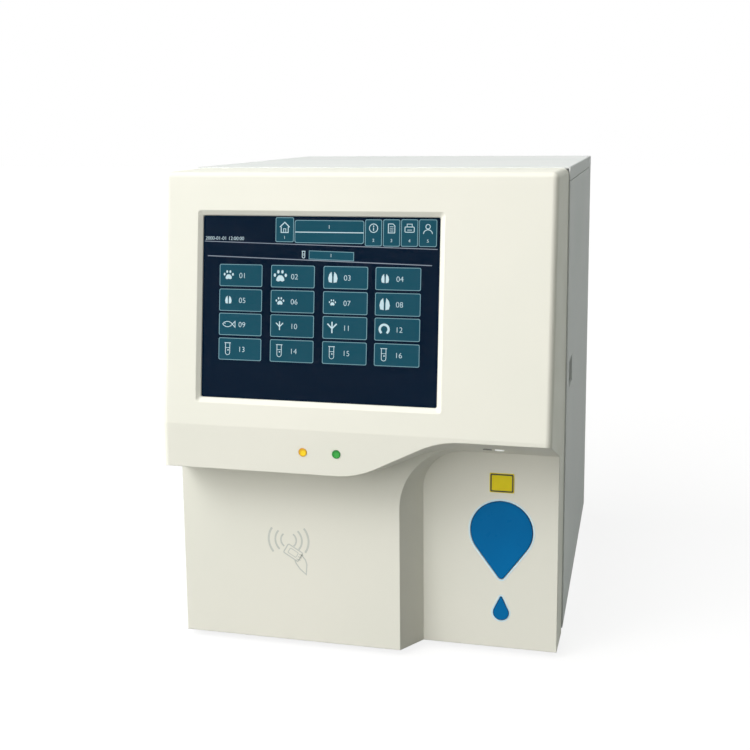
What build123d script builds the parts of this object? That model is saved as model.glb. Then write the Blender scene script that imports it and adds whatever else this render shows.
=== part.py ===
from build123d import *
import os
from math import cos, radians, sin, tan

os.makedirs("parts", exist_ok=True)

# Row frame: X to the right seen from the front, the front faces -Y, Z up from the bench.
# The origin is the bottom centre of the object, on the bench.

# Overall housing
body_width = 351.6
body_depth = 470.0
housing_height = 435.5
lip_gap = 6.0
cover_depth = 110.5
cover_wall = 3.0
corner_radius = 5.5
side_draft = 1.45
head_step = 1.0
shell_step = 1.3

# Tilted head with the screen, and the brow below it
crease_share = 0.4914
screen_share = 0.4677
screen_left = 144.0
head_tilt = 7.1
chin_left = 39.3
chin_right = 3.5
brow_from_right = 186.5
brow_run = 108.0
brow_angle = 26.5
brow_drop_left = 8.0
brow_drop_right = 16.8
head_overhang = 42.5
recess_width = 140.1
recess_depth = 25.7
recess_shift = 16.6
panel_corner = 60.0
recess_corner = 37.0

# Screen opening and the display behind it
rim_width = 220.0
rim_height = 169.0
rim_radius = 3.5
window_width = 211.0
window_height = 159.5
window_radius = 1.5
glass_width = 224.0
glass_height = 172.0
glass_thickness = 1.1
display_width = 228.0
display_height = 174.0
display_thickness = 6.0
bracket_height = 200.0
display_boss_x = 95.0
display_boss_y = 93.5

# Status lamps in the chin, card reader behind the left panel
lamp_radius = 3.75
lamp_left = 132.9
lamp_pitch = 30.1
lamp_below_crease = 19.7
lamp_flange = 1.0
reader_left = 105.8
reader_share = 0.401
reader_size = 50.0

# Drop-shaped key, drop lens and plate on the recessed panel
key_from_right = 51.7
key_share = 0.518
key_radius = 28.0
key_point = 45.0
key_point_round = 3.0
key_proud = 0.6
key_travel = 1.5
key_gap = 0.5
key_lip = 2.0
lens_share = 0.157
lens_radius = 7.2
lens_point = 15.4
lens_point_round = 1.0
plate_share = 0.7295
plate_width = 22.0
plate_height = 18.0
plate_thickness = 0.6

# Sample probe and its two-axis drive
probe_from_right = 50.5
probe_setback = 40.0
probe_radius = 1.0
probe_travel = 60.0
carriage_travel = 110.0
window_offset = 10.5
probe_rest_gap = 3.0
rod_radius = 4.0
rod_pitch = 55.0
screw_radius = 3.0
pulley_radius = 8.0
belt_thickness = 1.2
belt_width = 4.0

# Sheet metal of the rear shell
sheet = 1.5
frame_sheet = 2.0
foot_height = 10.5
foot_radius = 15.0
foot_inset_x = 34.0
foot_inset_y = 30.0
top_flange = 12.0
rear_recess = 17.0
door_flange = 8.0
door_gap = 0.8
hinge_inset = 6.0
hinge_pin_radius = 2.5
pull_width = 42.0
pull_height = 26.0
pull_depth = 14.0
pull_behind_seam = 50.0
pull_z = 247.0

# Rear fittings
fan_size = 80.0
fan_thickness = 25.0
fan_left = 84.5
fan_below_top = 110.0
mains_left = 46.0
mains_z = 62.0
fitting_pitch = 22.0
fitting_from_right = 99.0
fitting_z = 72.0
ports_left = 190.0
ports_z = 250.0

# Inner modules: distances from the right side of the cover, behind the seam and before the
# rear panel
modules_from_right = 86.5
syringe_behind_seam = 144.5
pump_behind_seam = 236.5
jar_behind_seam = 240.5
manifold_behind_seam = 114.5
board_behind_seam = 164.5
supply_before_rear = 41.5
bath_pitch = 36.0

# Clearances
seat_gap = 0.3
running_gap = 0.05
screw_gap = 0.1
seam_gap = 0.5

# Places worked out from the sizes above
half_width = body_width / 2
left_x = -half_width
cover_half = half_width - shell_step
front_y = -body_depth / 2
rear_y = body_depth / 2
seam_y = front_y + cover_depth
top_z = lip_gap + housing_height
head_top = top_z - head_step
crease_z = lip_gap + crease_share * housing_height
screen_x = screen_left - cover_half
screen_z = crease_z + screen_share * (top_z - crease_z)
low_height = crease_z - lip_gap
reader_z = lip_gap + reader_share * low_height
key_z = lip_gap + key_share * low_height
lens_z = lip_gap + lens_share * low_height
plate_z = lip_gap + plate_share * low_height
panel_y = front_y + head_overhang
recess_y = panel_y + recess_depth
panel_edge_x = cover_half - recess_width
brow_start_x = cover_half - brow_from_right
brow_end_x = brow_start_x + brow_run
base_top = foot_height + sheet
cover_top = top_z - sheet
skin_x = half_width - sheet
rear_face = rear_y - rear_recess
rear_inner = rear_face - sheet
plate_x = cover_half - modules_from_right
fan_z = cover_top - fan_below_top
plate_thick = 2.0
module_x = plate_x + plate_thick
far = 400.0


def write(name, part):
    """Label one finished piece and write it as its own STEP file."""
    part.label = name
    export_step(part, "parts/" + name + ".step")


def front_plane(x, y, z):
    """Plane facing the front, with its own x along X and its own y along Z."""
    return Plane(origin=(x, y, z), x_dir=(1, 0, 0), z_dir=(0, -1, 0))


def rear_plane(x, y, z):
    """Plane facing the rear."""
    return Plane(origin=(x, y, z), x_dir=(-1, 0, 0), z_dir=(0, 1, 0))


def right_plane(x, y, z):
    """Plane facing the right, with its own x along Y and its own y along Z."""
    return Plane(origin=(x, y, z), x_dir=(0, 1, 0), z_dir=(1, 0, 0))


def head_front(z):
    """Y of the tilted front face at a height above the crease."""
    return front_y + (z - crease_z) * tan(radians(head_tilt))


def between(low, high):
    """Centre of a box given by two corners, and its three lengths."""
    centre = tuple((a + b) / 2 for a, b in zip(low, high))
    return centre, tuple(b - a for a, b in zip(low, high))


def block(low, high, mode=Mode.ADD):
    """Box between two corners, in the piece that is being built."""
    centre, size = between(low, high)
    with Locations(centre):
        Box(*size, mode=mode)


def bar(start, direction, length, radius, mode=Mode.ADD):
    """Round bar, or with Mode.SUBTRACT a round hole, from a point along a direction."""
    with BuildSketch(Plane(origin=start, z_dir=direction)) as round_end:
        Circle(radius)
    extrude(round_end.sketch, amount=length, mode=mode)


def cover_form(inset, past_seam):
    """Closed form of the front cover, drawn in by inset and carried past the seam."""
    slant = inset / cos(radians(head_tilt))
    top = head_top - inset
    bottom = lip_gap + inset
    back = seam_y + past_seam
    narrow = tan(radians(side_draft)) * (seam_y - front_y)
    with BuildPart() as form:
        with BuildSketch(Plane.YZ):
            with BuildLine():
                Polyline(
                    (back, bottom),
                    (back, top),
                    (head_front(top) + slant, top),
                    (front_y + inset, crease_z),
                    (front_y + inset, bottom),
                    close=True,
                )
            make_face()
        extrude(amount=body_width, both=True)
        wide = cover_half - inset
        with BuildSketch(Plane.XY):
            with BuildLine():
                Polyline(
                    (-wide, back + 1),
                    (-wide, seam_y),
                    (narrow - wide, front_y),
                    (wide - narrow, front_y),
                    (wide, seam_y),
                    (wide, back + 1),
                    close=True,
                )
            make_face()
        extrude(amount=top_z + far, both=True, mode=Mode.INTERSECT)
        upright = form.edges().filter_by(
            lambda e: e.center().Y < seam_y - head_overhang and abs(e.tangent_at(0.5).Z) > 0.9
        )
        brim = form.edges().filter_by(
            lambda e: e.center().Z > top - 1 and e.center().Y < seam_y - 1
        )
        fillet(upright + brim, radius=corner_radius - inset)
    return form.part


def brow_section(y, grow):
    """Outline of the open space under the head at one depth, on its own plane."""
    share = (y - front_y) / head_overhang
    left_z = crease_z - chin_left - brow_drop_left * share + grow
    right_z = crease_z - chin_right - brow_drop_right * share + grow
    turn = radians(brow_angle)
    radius = (brow_run - (right_z - left_z) / tan(turn)) * sin(turn) / 2 / (1 - cos(turn))
    low = lip_gap - far
    with BuildSketch(Plane.XZ.offset(-y)) as section:
        with BuildLine():
            Line((-far, low), (-far, left_z))
            Line((-far, left_z), (brow_start_x, left_z))
            rise = JernArc((brow_start_x, left_z), (1, 0), radius, brow_angle)
            settle = JernArc((brow_end_x, right_z), (-1, 0), radius, brow_angle)
            Line(rise @ 1, settle @ 1)
            Line((brow_end_x, right_z), (far, right_z))
            Line((far, right_z), (far, low))
            Line((far, low), (-far, low))
        make_face()
    return section.sketch


def recess_section(y, grow):
    """Outline of the recess at the lower right at one depth, on its own plane."""
    share = (y - panel_y) / recess_depth
    side_x = panel_edge_x + recess_shift * share - grow
    ceiling = crease_z - chin_right - brow_drop_right * (y - front_y) / head_overhang + grow
    radius = panel_corner + (recess_corner - panel_corner) * share + grow
    low = lip_gap - far
    with BuildSketch(Plane.XZ.offset(-y)) as section:
        with BuildLine():
            Line((side_x, low), (side_x, ceiling - radius))
            corner = JernArc((side_x, ceiling - radius), (0, 1), radius, -90)
            Line(corner @ 1, (far, ceiling))
            Line((far, ceiling), (far, low))
            Line((far, low), (side_x, low))
        make_face()
    return section.sketch


def hollow_between(front_section, back_section):
    """Solid of the open space between two outlines."""
    with BuildPart() as hollow:
        add(front_section)
        add(back_section)
        loft(ruled=True)
    return hollow.part


def moulded_form(inset, past_seam):
    """Front cover form with the space under the head and the recess taken away."""
    brow = hollow_between(
        brow_section(front_y - head_overhang / 2, inset),
        brow_section(panel_y + inset, inset),
    )
    recess = hollow_between(
        recess_section(panel_y - recess_depth / 5, inset),
        recess_section(recess_y + inset, inset),
    )
    closed = cover_form(inset, past_seam)
    with BuildPart() as moulded:
        add(closed)
        add(brow, mode=Mode.SUBTRACT)
        add(recess, mode=Mode.SUBTRACT)
    return moulded.part


def drop_sketch(plane, radius, point, point_round, grow, upward):
    """Drop outline: a round end and two tangents that meet at a rounded point."""
    inner = radius - point_round
    reach = point - point_round
    side = 1 if upward else -1
    along = inner * inner / reach
    across = inner * (1 - (inner / reach) ** 2) ** 0.5
    with BuildSketch(plane) as drop:
        Circle(inner)
        with BuildLine():
            Polyline((-across, side * along), (0, side * reach), (across, side * along), close=True)
        make_face()
        offset(amount=point_round + grow)
    return drop.sketch


def screen_plane(depth):
    """Plane parallel to the tilted front face, at a depth below it, centred on the screen."""
    tilt = radians(head_tilt)
    inward = (0, cos(tilt), -sin(tilt))
    origin = (screen_x, head_front(screen_z) + inward[1] * depth, screen_z + inward[2] * depth)
    return Plane(origin=origin, x_dir=(1, 0, 0), z_dir=(0, -cos(tilt), sin(tilt)))


# Places used by more than one piece
lamp_places = [(lamp_left - cover_half + i * lamp_pitch, crease_z - lamp_below_crease) for i in range(2)]
chin_inner = front_y + cover_wall
reader_x = reader_left - cover_half
panel_inner = panel_y + cover_wall
recess_inner = recess_y + cover_wall
key_x = cover_half - key_from_right
probe_x = cover_half - probe_from_right
probe_y = front_y + probe_setback
window_x = probe_x - window_offset
ceiling_at_probe = crease_z - chin_right - brow_drop_right * probe_setback / head_overhang
bush_radius = 4.0
reader_boss = 5.0
reader_pitch = reader_size - 10.0
lamp_boss = 4.0
boss_radius = 3.5
cover_boss_radius = 5.0
cover_boss_length = 14.0
cover_boss_places = [
    (12.0 - cover_half, 60.0),
    (12.0 - cover_half, head_top - 40.0),
    (cover_half - 20.0, 60.0),
    (cover_half - 20.0, head_top - 40.0),
]
cover_screw_radius = 2.0
key_bracket_y = recess_inner + 14.0
key_boss_places = [(key_x - 36.0, key_z + 22.0), (key_x + 36.0, key_z - 22.0)]

# Moulded front cover: head, chin, brow, left panel and recessed panel in one shell
outer_form = moulded_form(0, 0)
inner_form = moulded_form(cover_wall, 5)
key_opening = drop_sketch(
    front_plane(key_x, recess_y, key_z), key_radius, key_point, key_point_round, key_gap, False
)
lens_opening = drop_sketch(
    front_plane(key_x, recess_y, lens_z), lens_radius, lens_point, lens_point_round, screw_gap, True
)
with BuildPart() as screen_cutter:
    with BuildSketch(screen_plane(-1)):
        RectangleRounded(
            rim_width + (rim_width - window_width) / cover_wall,
            rim_height + (rim_height - window_height) / cover_wall,
            rim_radius,
        )
    with BuildSketch(screen_plane(cover_wall)):
        RectangleRounded(window_width, window_height, window_radius)
    loft()
    with BuildSketch(screen_plane(cover_wall + 1)):
        RectangleRounded(window_width, window_height, window_radius)
    extrude(amount=2)

with BuildPart() as front_cover:
    add(outer_form)
    add(inner_form, mode=Mode.SUBTRACT)
    with BuildSketch(screen_plane(cover_wall - 0.5)):
        with GridLocations(2 * display_boss_x, 2 * display_boss_y, 2, 2):
            Circle(boss_radius)
    extrude(amount=-(glass_thickness + seat_gap + display_thickness + 0.5))
    with BuildSketch(front_plane(reader_x, panel_inner - 0.5, reader_z)):
        with GridLocations(reader_pitch, reader_pitch, 2, 2):
            Circle(boss_radius)
    extrude(amount=-(reader_boss + 0.5))
    with BuildSketch(front_plane(0, chin_inner - 0.5, 0)):
        with Locations((sum(p[0] for p in lamp_places) / 2, lamp_places[0][1])):
            Circle(boss_radius)
    extrude(amount=-(lamp_boss + 0.5))
    with BuildSketch(front_plane(0, recess_inner - 0.5, 0)):
        with Locations(*key_boss_places):
            Circle(boss_radius)
    extrude(amount=-(key_bracket_y - recess_inner + 0.5))
    with BuildSketch(front_plane(0, seam_y, 0)):
        with Locations(*cover_boss_places):
            Circle(cover_boss_radius)
            Rectangle(2 * cover_boss_radius, cover_boss_radius)
    extrude(amount=cover_boss_length)
    for boss_x, boss_z in cover_boss_places:
        outward = 1 if boss_x > 0 else -1
        web = abs(cover_half - cover_wall / 2 - abs(boss_x))
        with BuildSketch(front_plane(boss_x + outward * web / 2, seam_y, boss_z)):
            Rectangle(web, cover_wall)
        extrude(amount=cover_boss_length)
    with BuildSketch(front_plane(0, seam_y, 0)):
        with Locations(*cover_boss_places):
            Circle(cover_screw_radius)
    extrude(amount=cover_boss_length, mode=Mode.SUBTRACT)
    add(screen_cutter.part, mode=Mode.SUBTRACT)
    with BuildSketch(front_plane(0, front_y - 1, 0)):
        with Locations(*lamp_places):
            Circle(lamp_radius + screw_gap)
    extrude(amount=-(cover_wall + 2), mode=Mode.SUBTRACT)
    extrude(key_opening, amount=-(cover_wall + 1), mode=Mode.SUBTRACT)
    extrude(lens_opening, amount=-(cover_wall + 1), mode=Mode.SUBTRACT)
    with BuildSketch(Plane.XY.offset(ceiling_at_probe - 10)):
        with Locations((probe_x, probe_y), (window_x, probe_y)):
            Circle(bush_radius + screw_gap)
    extrude(amount=25, mode=Mode.SUBTRACT)
write("front_cover", front_cover.part)

# Display stack, seated on the inside of the front cover
glass_depth = cover_wall
display_depth = glass_depth + glass_thickness + seat_gap
bracket_depth = display_depth + display_thickness
bracket_hole = 1.7
bracket_window_width = 150.0
bracket_window_height = 100.0

with BuildPart() as touch_glass:
    with BuildSketch(screen_plane(glass_depth)):
        RectangleRounded(glass_width, glass_height, window_radius)
    extrude(amount=-glass_thickness)
write("touch_glass", touch_glass.part)

with BuildPart() as display_panel:
    with BuildSketch(screen_plane(display_depth)):
        RectangleRounded(display_width, display_height, window_radius)
    extrude(amount=-display_thickness)
write("display_panel", display_panel.part)

with BuildPart() as display_bracket:
    with BuildSketch(screen_plane(bracket_depth)):
        RectangleRounded(display_width, bracket_height, corner_radius)
        Rectangle(bracket_window_width, bracket_window_height, mode=Mode.SUBTRACT)
        with GridLocations(2 * display_boss_x, 2 * display_boss_y, 2, 2):
            Circle(bracket_hole, mode=Mode.SUBTRACT)
    extrude(amount=-sheet)
write("display_bracket", display_bracket.part)

# Status lamps: a lens through the chin with a flange inside, and their board
lamp_dome = 0.8
lamp_board_thickness = 1.6
lamp_board_width = 50.0
lamp_board_height = 16.0


def lamp_lens(place):
    """Round lamp lens with a shallow dome outside and a flange inside."""
    with BuildPart() as lens:
        with BuildSketch(front_plane(place[0], front_y - lamp_dome, place[1])):
            Circle(lamp_radius)
        extrude(amount=-(cover_wall + lamp_dome))
        fillet(lens.faces().sort_by(Axis.Y)[0].edges(), radius=lamp_dome - screw_gap)
        with BuildSketch(front_plane(place[0], chin_inner, place[1])):
            Circle(lamp_radius + lamp_flange)
        extrude(amount=-lamp_flange)
    return lens.part


for lamp_name, lamp_place in zip(("lamp_yellow", "lamp_green"), lamp_places):
    write(lamp_name, lamp_lens(lamp_place))

with BuildPart() as lamp_board:
    board_y = chin_inner + lamp_boss
    with BuildSketch(front_plane(sum(p[0] for p in lamp_places) / 2, board_y, lamp_places[0][1])):
        RectangleRounded(lamp_board_width, lamp_board_height, 1)
    extrude(amount=-lamp_board_thickness)
    with BuildSketch(front_plane(0, board_y, 0)):
        with Locations(*lamp_places):
            Circle(lamp_radius - 1)
    extrude(amount=lamp_boss - lamp_flange - seat_gap)
write("lamp_board", lamp_board.part)

# Card reader board on four bosses behind the left panel
reader_thickness = 1.6
with BuildPart() as card_reader:
    reader_y = panel_inner + reader_boss
    with BuildSketch(front_plane(reader_x, reader_y, reader_z)):
        RectangleRounded(reader_size, reader_size, 2)
    extrude(amount=-reader_thickness)
    with BuildSketch(front_plane(reader_x, reader_y + reader_thickness, reader_z)):
        Rectangle(reader_size / 4, reader_size / 4)
    extrude(amount=-reader_thickness)
write("card_reader", card_reader.part)

# Plain plate above the key
with BuildPart() as notice_plate:
    with BuildSketch(front_plane(key_x, recess_y, plate_z)):
        RectangleRounded(plate_width, plate_height, 1)
    extrude(amount=plate_thickness)
write("notice_plate", notice_plate.part)

# Aspirate key: drop-shaped cap, a lip that stops it behind the wall, and a stem
key_stem_radius = 4.0
key_lip_thickness = 1.5
stem_past_bracket = key_travel + 3.5
key_face_y = recess_y - key_proud
cap_sketch = drop_sketch(
    front_plane(key_x, key_face_y, key_z), key_radius, key_point, key_point_round, 0, False
)
lip_sketch = drop_sketch(
    front_plane(key_x, recess_inner + seat_gap, key_z),
    key_radius,
    key_point,
    key_point_round,
    key_lip,
    False,
)
with BuildPart() as aspirate_key:
    extrude(cap_sketch, amount=-(cover_wall + key_proud + seat_gap))
    rim_edges = aspirate_key.faces().sort_by(Axis.Y)[0].edges()
    fillet(rim_edges, radius=key_proud)
    extrude(lip_sketch, amount=-key_lip_thickness)
    with BuildSketch(front_plane(key_x, recess_inner + seat_gap, key_z)):
        Circle(key_stem_radius)
    extrude(amount=-(key_bracket_y - recess_inner + sheet + stem_past_bracket))
write("aspirate_key", aspirate_key.part)

key_bracket_width = 84.0
key_bracket_height = 56.0
with BuildPart() as key_bracket:
    with BuildSketch(front_plane(key_x, key_bracket_y, key_z)):
        RectangleRounded(key_bracket_width, key_bracket_height, 2)
        Circle(key_stem_radius + running_gap, mode=Mode.SUBTRACT)
    extrude(amount=-sheet)
    with BuildSketch(front_plane(key_x, key_bracket_y + sheet, key_z - key_bracket_height / 3)):
        Rectangle(reader_boss * 3, reader_boss)
    extrude(amount=-reader_boss)
write("key_bracket", key_bracket.part)

# Drop lens below the key, with a flange behind the wall
lens_cap = drop_sketch(
    front_plane(key_x, recess_y - key_proud, lens_z),
    lens_radius,
    lens_point,
    lens_point_round,
    0,
    True,
)
lens_flange = drop_sketch(
    front_plane(key_x, recess_inner, lens_z),
    lens_radius,
    lens_point,
    lens_point_round,
    key_lip,
    True,
)
with BuildPart() as drop_lens:
    extrude(lens_cap, amount=-(cover_wall + key_proud))
    extrude(lens_flange, amount=-key_lip_thickness)
write("drop_lens", drop_lens.part)

# Two round pieces in the ceiling above the recess: the probe's bush and a sensor window
bush_low = ceiling_at_probe - 3.0
bush_height = 12.0
bush_bore = 3.0
bush_proud = 0.6


def ceiling_piece(x, bore):
    """Round piece cut along the sloping ceiling it goes through, with a bore if one is given."""
    lower_end = Plane(
        origin=(x, probe_y, ceiling_at_probe - bush_proud),
        z_dir=(0, brow_drop_right / head_overhang, 1),
    )
    with BuildPart() as piece:
        with BuildSketch(Plane.XY.offset(bush_low)):
            with Locations((x, probe_y)):
                Circle(bush_radius)
        extrude(amount=bush_height)
        if bore:
            with BuildSketch(Plane.XY.offset(bush_low)):
                with Locations((x, probe_y)):
                    Circle(bore)
            extrude(amount=bush_height, mode=Mode.SUBTRACT)
        split(bisect_by=lower_end, keep=Keep.TOP)
    return piece.part


bush_top = bush_low + bush_height
write("probe_bush", ceiling_piece(probe_x, bush_bore))
write("probe_window", ceiling_piece(window_x, 0))

# Front frame behind the front cover: uprights and rails of sheet, welded edge to edge, with
# windows between them for cables, the probe drive and the key
along_x = (1, 0, 0)
along_y = (0, 1, 0)
along_z = (0, 0, 1)
frame_flange = 12.0
frame_right = half_width - 12.5
frame_low_rail = 40.0
frame_post = 20.0
probe_window_low = bush_top - 4.7
probe_window_high = probe_window_low + 207.0
probe_window_right = frame_right - 13.5
cable_window_left = left_x + 25.0
key_window_high = 170.0
post_right = plate_x - plate_thick
post_left = plate_x - frame_post
back_y = seam_y + frame_sheet


def frame_strip(low_x, low_z, high_x, high_z, flange_x=None):
    """Strip of the front frame, with a flange to the rear where its place is given."""
    with BuildPart() as strip:
        block((low_x, seam_y, low_z), (high_x, back_y, high_z))
        if flange_x is not None:
            flange_back = seam_y + frame_flange
            block((flange_x, seam_y, low_z), (flange_x + frame_sheet, flange_back, high_z))
            with BuildSketch(front_plane(0, back_y, 0)):
                with Locations(*cover_boss_places):
                    Circle(cover_screw_radius + screw_gap)
            extrude(amount=frame_sheet + 1, mode=Mode.SUBTRACT)
    return strip.part.solid()


left_post = (-skin_x, base_top, cable_window_left, cover_top, -skin_x)
right_post = (probe_window_right, base_top, frame_right, cover_top, frame_right - frame_sheet)
front_frame = Compound([
    frame_strip(*left_post),
    frame_strip(*right_post),
    frame_strip(cable_window_left, base_top, probe_window_right, frame_low_rail),
    frame_strip(cable_window_left, probe_window_high, probe_window_right, cover_top),
    frame_strip(post_left, frame_low_rail, post_right, probe_window_high),
    frame_strip(post_right, key_window_high, probe_window_right, probe_window_low),
])
write("front_frame", front_frame)

with BuildPart() as cover_screws:
    with BuildSketch(front_plane(0, back_y, 0)):
        with Locations(*cover_boss_places):
            Circle(cover_screw_radius - screw_gap)
    extrude(amount=cover_boss_length - 2)
    with BuildSketch(front_plane(0, back_y, 0)):
        with Locations(*cover_boss_places):
            Circle(2 * cover_screw_radius)
    extrude(amount=-cover_screw_radius)
write("cover_screws", cover_screws.part)

# Base plate with vent slots, on four rubber feet
base_edge = half_width - seat_gap
slot_length = 60.0
slot_width = 4.0
slot_pitch = 12.0
slot_count = 7
base_vent_left = 75.0
base_vent_behind = 104.5
with BuildPart() as base_plate:
    block((-base_edge, seam_y, foot_height), (base_edge, rear_y - seat_gap, base_top))
    with BuildSketch(Plane.XY.offset(base_top)):
        with Locations((left_x + base_vent_left, seam_y + base_vent_behind)):
            with GridLocations(0, slot_pitch, 1, slot_count):
                SlotOverall(slot_length, slot_width)
    extrude(amount=-2 * sheet, mode=Mode.SUBTRACT)
write("base_plate", base_plate.part)

foot_draft = 8.0
with BuildPart() as rubber_feet:
    foot_front = seam_y + foot_inset_y
    foot_rear = rear_y - foot_inset_y
    with BuildSketch(Plane.XY.offset(foot_height)):
        with Locations((0, (foot_front + foot_rear) / 2)):
            with GridLocations(body_width - 2 * foot_inset_x, foot_rear - foot_front, 2, 2):
                Circle(foot_radius)
    extrude(amount=-foot_height, taper=foot_draft)
write("rubber_feet", rubber_feet.part)

# Left side panel: a folded sheet, closed in at the top, the bottom and the rear edge
side_top = top_z - top_flange - seam_gap
side_flange = 12.0
side_vent_before = 90.0
side_vent_z = 150.0
with BuildPart() as left_side_panel:
    side_front = seam_y + door_gap
    flange_front = seam_y + frame_flange + sheet
    flange_rear = rear_inner - sheet
    inward = left_x + side_flange
    block((left_x, side_front, base_top), (-skin_x, rear_y, side_top))
    block((left_x, flange_front, base_top), (inward, flange_rear, base_top + sheet))
    block((left_x, flange_front, side_top - sheet), (inward, flange_rear, side_top))
    block((left_x, rear_y - sheet, base_top), (inward, rear_y, side_top))
    with BuildSketch(right_plane(left_x, rear_y - side_vent_before, side_vent_z)):
        with GridLocations(0, slot_pitch, 1, slot_count):
            SlotOverall(slot_length, slot_width)
    extrude(amount=2 * sheet, mode=Mode.SUBTRACT)
write("left_side_panel", left_side_panel.part)

# Service door on the right, hinged at its rear edge, with a finger pull behind the seam
hinge_x = half_width - hinge_inset
hinge_y = rear_y - hinge_inset
door_bottom = base_top + seam_gap
door_rear = rear_y - 1.0
door_flange_low = door_bottom + 3.5
door_flange_high = side_top - 5.0
door_inward = half_width - side_flange
closing_flange_low = door_bottom + 18.0
closing_flange_high = side_top - 18.0
pull_y = seam_y + pull_behind_seam
with BuildPart() as service_door:
    block((skin_x, side_front, door_bottom), (half_width, door_rear, side_top))
    block((door_inward, side_front, door_flange_low), (skin_x, door_rear, door_flange_low + sheet))
    block((door_inward, side_front, door_flange_high), (skin_x, door_rear, door_flange_high + sheet))
    block(
        (skin_x - door_flange, side_front, door_flange_low),
        (skin_x, side_front + sheet, door_flange_high + sheet),
    )
    block(
        (half_width - hinge_inset - 8.5, door_rear - sheet, closing_flange_low),
        (skin_x, door_rear, closing_flange_high),
    )
    block(
        (skin_x - pull_depth, pull_y - pull_width / 2 - sheet, pull_z - pull_height / 2 - sheet),
        (skin_x, pull_y + pull_width / 2 + sheet, pull_z + pull_height / 2 + sheet),
    )
    block(
        (skin_x - pull_depth + sheet, pull_y - pull_width / 2, pull_z - pull_height / 2),
        (half_width + 1, pull_y + pull_width / 2, pull_z + pull_height / 2),
        Mode.SUBTRACT,
    )
    for flange_z in (door_flange_low, door_flange_high):
        bar(
            (hinge_x, hinge_y, flange_z - 1),
            along_z,
            sheet + 2,
            hinge_pin_radius + running_gap,
            Mode.SUBTRACT,
        )
write("service_door", service_door.part)

# Two hinge brackets, each a plate against the rear panel with a riveted pin
bracket_plate = 3.0
bracket_eye = 4.0
bracket_arm = 16.0
with BuildPart() as hinge_brackets:
    upper_low = door_flange_high + sheet + 1.0
    for plate_low in (base_top, upper_low):
        block(
            (hinge_x - bracket_arm, rear_face, plate_low),
            (hinge_x, hinge_y, plate_low + bracket_plate),
        )
        bar((hinge_x, hinge_y, plate_low), along_z, bracket_plate, bracket_eye)
    bar((hinge_x, hinge_y, base_top), along_z, door_flange_low + 8 - base_top, hinge_pin_radius)
    pin_low = door_flange_high - 6
    bar((hinge_x, hinge_y, pin_low), along_z, upper_low + bracket_plate - pin_low, hinge_pin_radius)
write("hinge_brackets", hinge_brackets.part)

magnet_height = 30.0
with BuildPart() as door_magnet:
    magnet_z = side_top - 100.0
    block(
        (frame_right, side_front + sheet + 1.2, magnet_z),
        (skin_x - 0.4, seam_y + frame_flange, magnet_z + magnet_height),
    )
write("door_magnet", door_magnet.part)

# Top cover with folded edges
with BuildPart() as top_cover:
    top_front = seam_y + seam_gap
    flange_low = top_z - top_flange
    block((left_x, top_front, cover_top), (half_width, rear_y, top_z))
    block((left_x, top_front, flange_low), (-skin_x, rear_y, cover_top))
    block((skin_x, top_front, flange_low), (half_width, rear_y, cover_top))
    block((left_x, rear_y - sheet, flange_low), (half_width, rear_y, cover_top))
    long_edges = top_cover.edges().filter_by(Axis.Y).filter_by(
        lambda e: e.center().Z > top_z - 0.1 and abs(e.center().X) > skin_x
    )
    fillet(long_edges, radius=sheet * 0.8)
write("top_cover", top_cover.part)

# Rear panel, set in from the rear edge, with the openings for its fittings
fan_x = left_x + fan_left
fan_bore = fan_size / 2 - 2.0
fan_screw_pitch = 71.5
mains_x = left_x + mains_left
mains_width = 27.0
mains_height = 52.0
fitting_places = [(half_width - fitting_from_right + i * fitting_pitch, fitting_z) for i in range(4)]
fitting_body = 5.0
port_sizes = [(16.0, 13.5), (14.5, 8.0), (14.5, 8.0)]
port_pitch = 24.0
port_places = [(left_x + ports_left + i * port_pitch, ports_z) for i in range(3)]
screw_shank = 1.4
rear_screw_columns = (left_x + 18.0, half_width - 30.0)
rear_screw_rows = (base_top + 118.0, base_top + 213.0, cover_top - 25.0)
rear_screw_places = [(x, z) for x in rear_screw_columns for z in rear_screw_rows]
rear_vent_below_fan = 120.0
fan_screw_places = [
    (fan_x + i * fan_screw_pitch / 2, fan_z + j * fan_screw_pitch / 2) for i in (-1, 1) for j in (-1, 1)
]
with BuildPart() as rear_panel:
    block((-skin_x, rear_inner, base_top), (skin_x - door_gap, rear_face, cover_top))
    with BuildSketch(front_plane(0, rear_face, 0)):
        with Locations((fan_x, fan_z)):
            Circle(fan_bore)
        with Locations((mains_x, mains_z)):
            Rectangle(mains_width + 2 * seat_gap, mains_height + 2 * seat_gap)
        with Locations(*fitting_places):
            Circle(fitting_body + screw_gap)
        for place, port_size in zip(port_places, port_sizes):
            with Locations(place):
                Rectangle(port_size[0] + 2 * seat_gap, port_size[1] + 2 * seat_gap)
        with Locations(*rear_screw_places, *fan_screw_places):
            Circle(screw_shank + screw_gap)
        with Locations((fan_x, fan_z - rear_vent_below_fan)):
            with GridLocations(0, slot_pitch, 1, slot_count):
                SlotOverall(slot_length, slot_width)
    extrude(amount=2 * sheet, mode=Mode.SUBTRACT)
    for flange_z in (door_flange_low, door_flange_high):
        block(
            (door_inward - door_gap, rear_inner - 1, flange_z - door_gap),
            (half_width, rear_face + 1, flange_z + sheet + door_gap),
            Mode.SUBTRACT,
        )
write("rear_panel", rear_panel.part)

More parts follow.
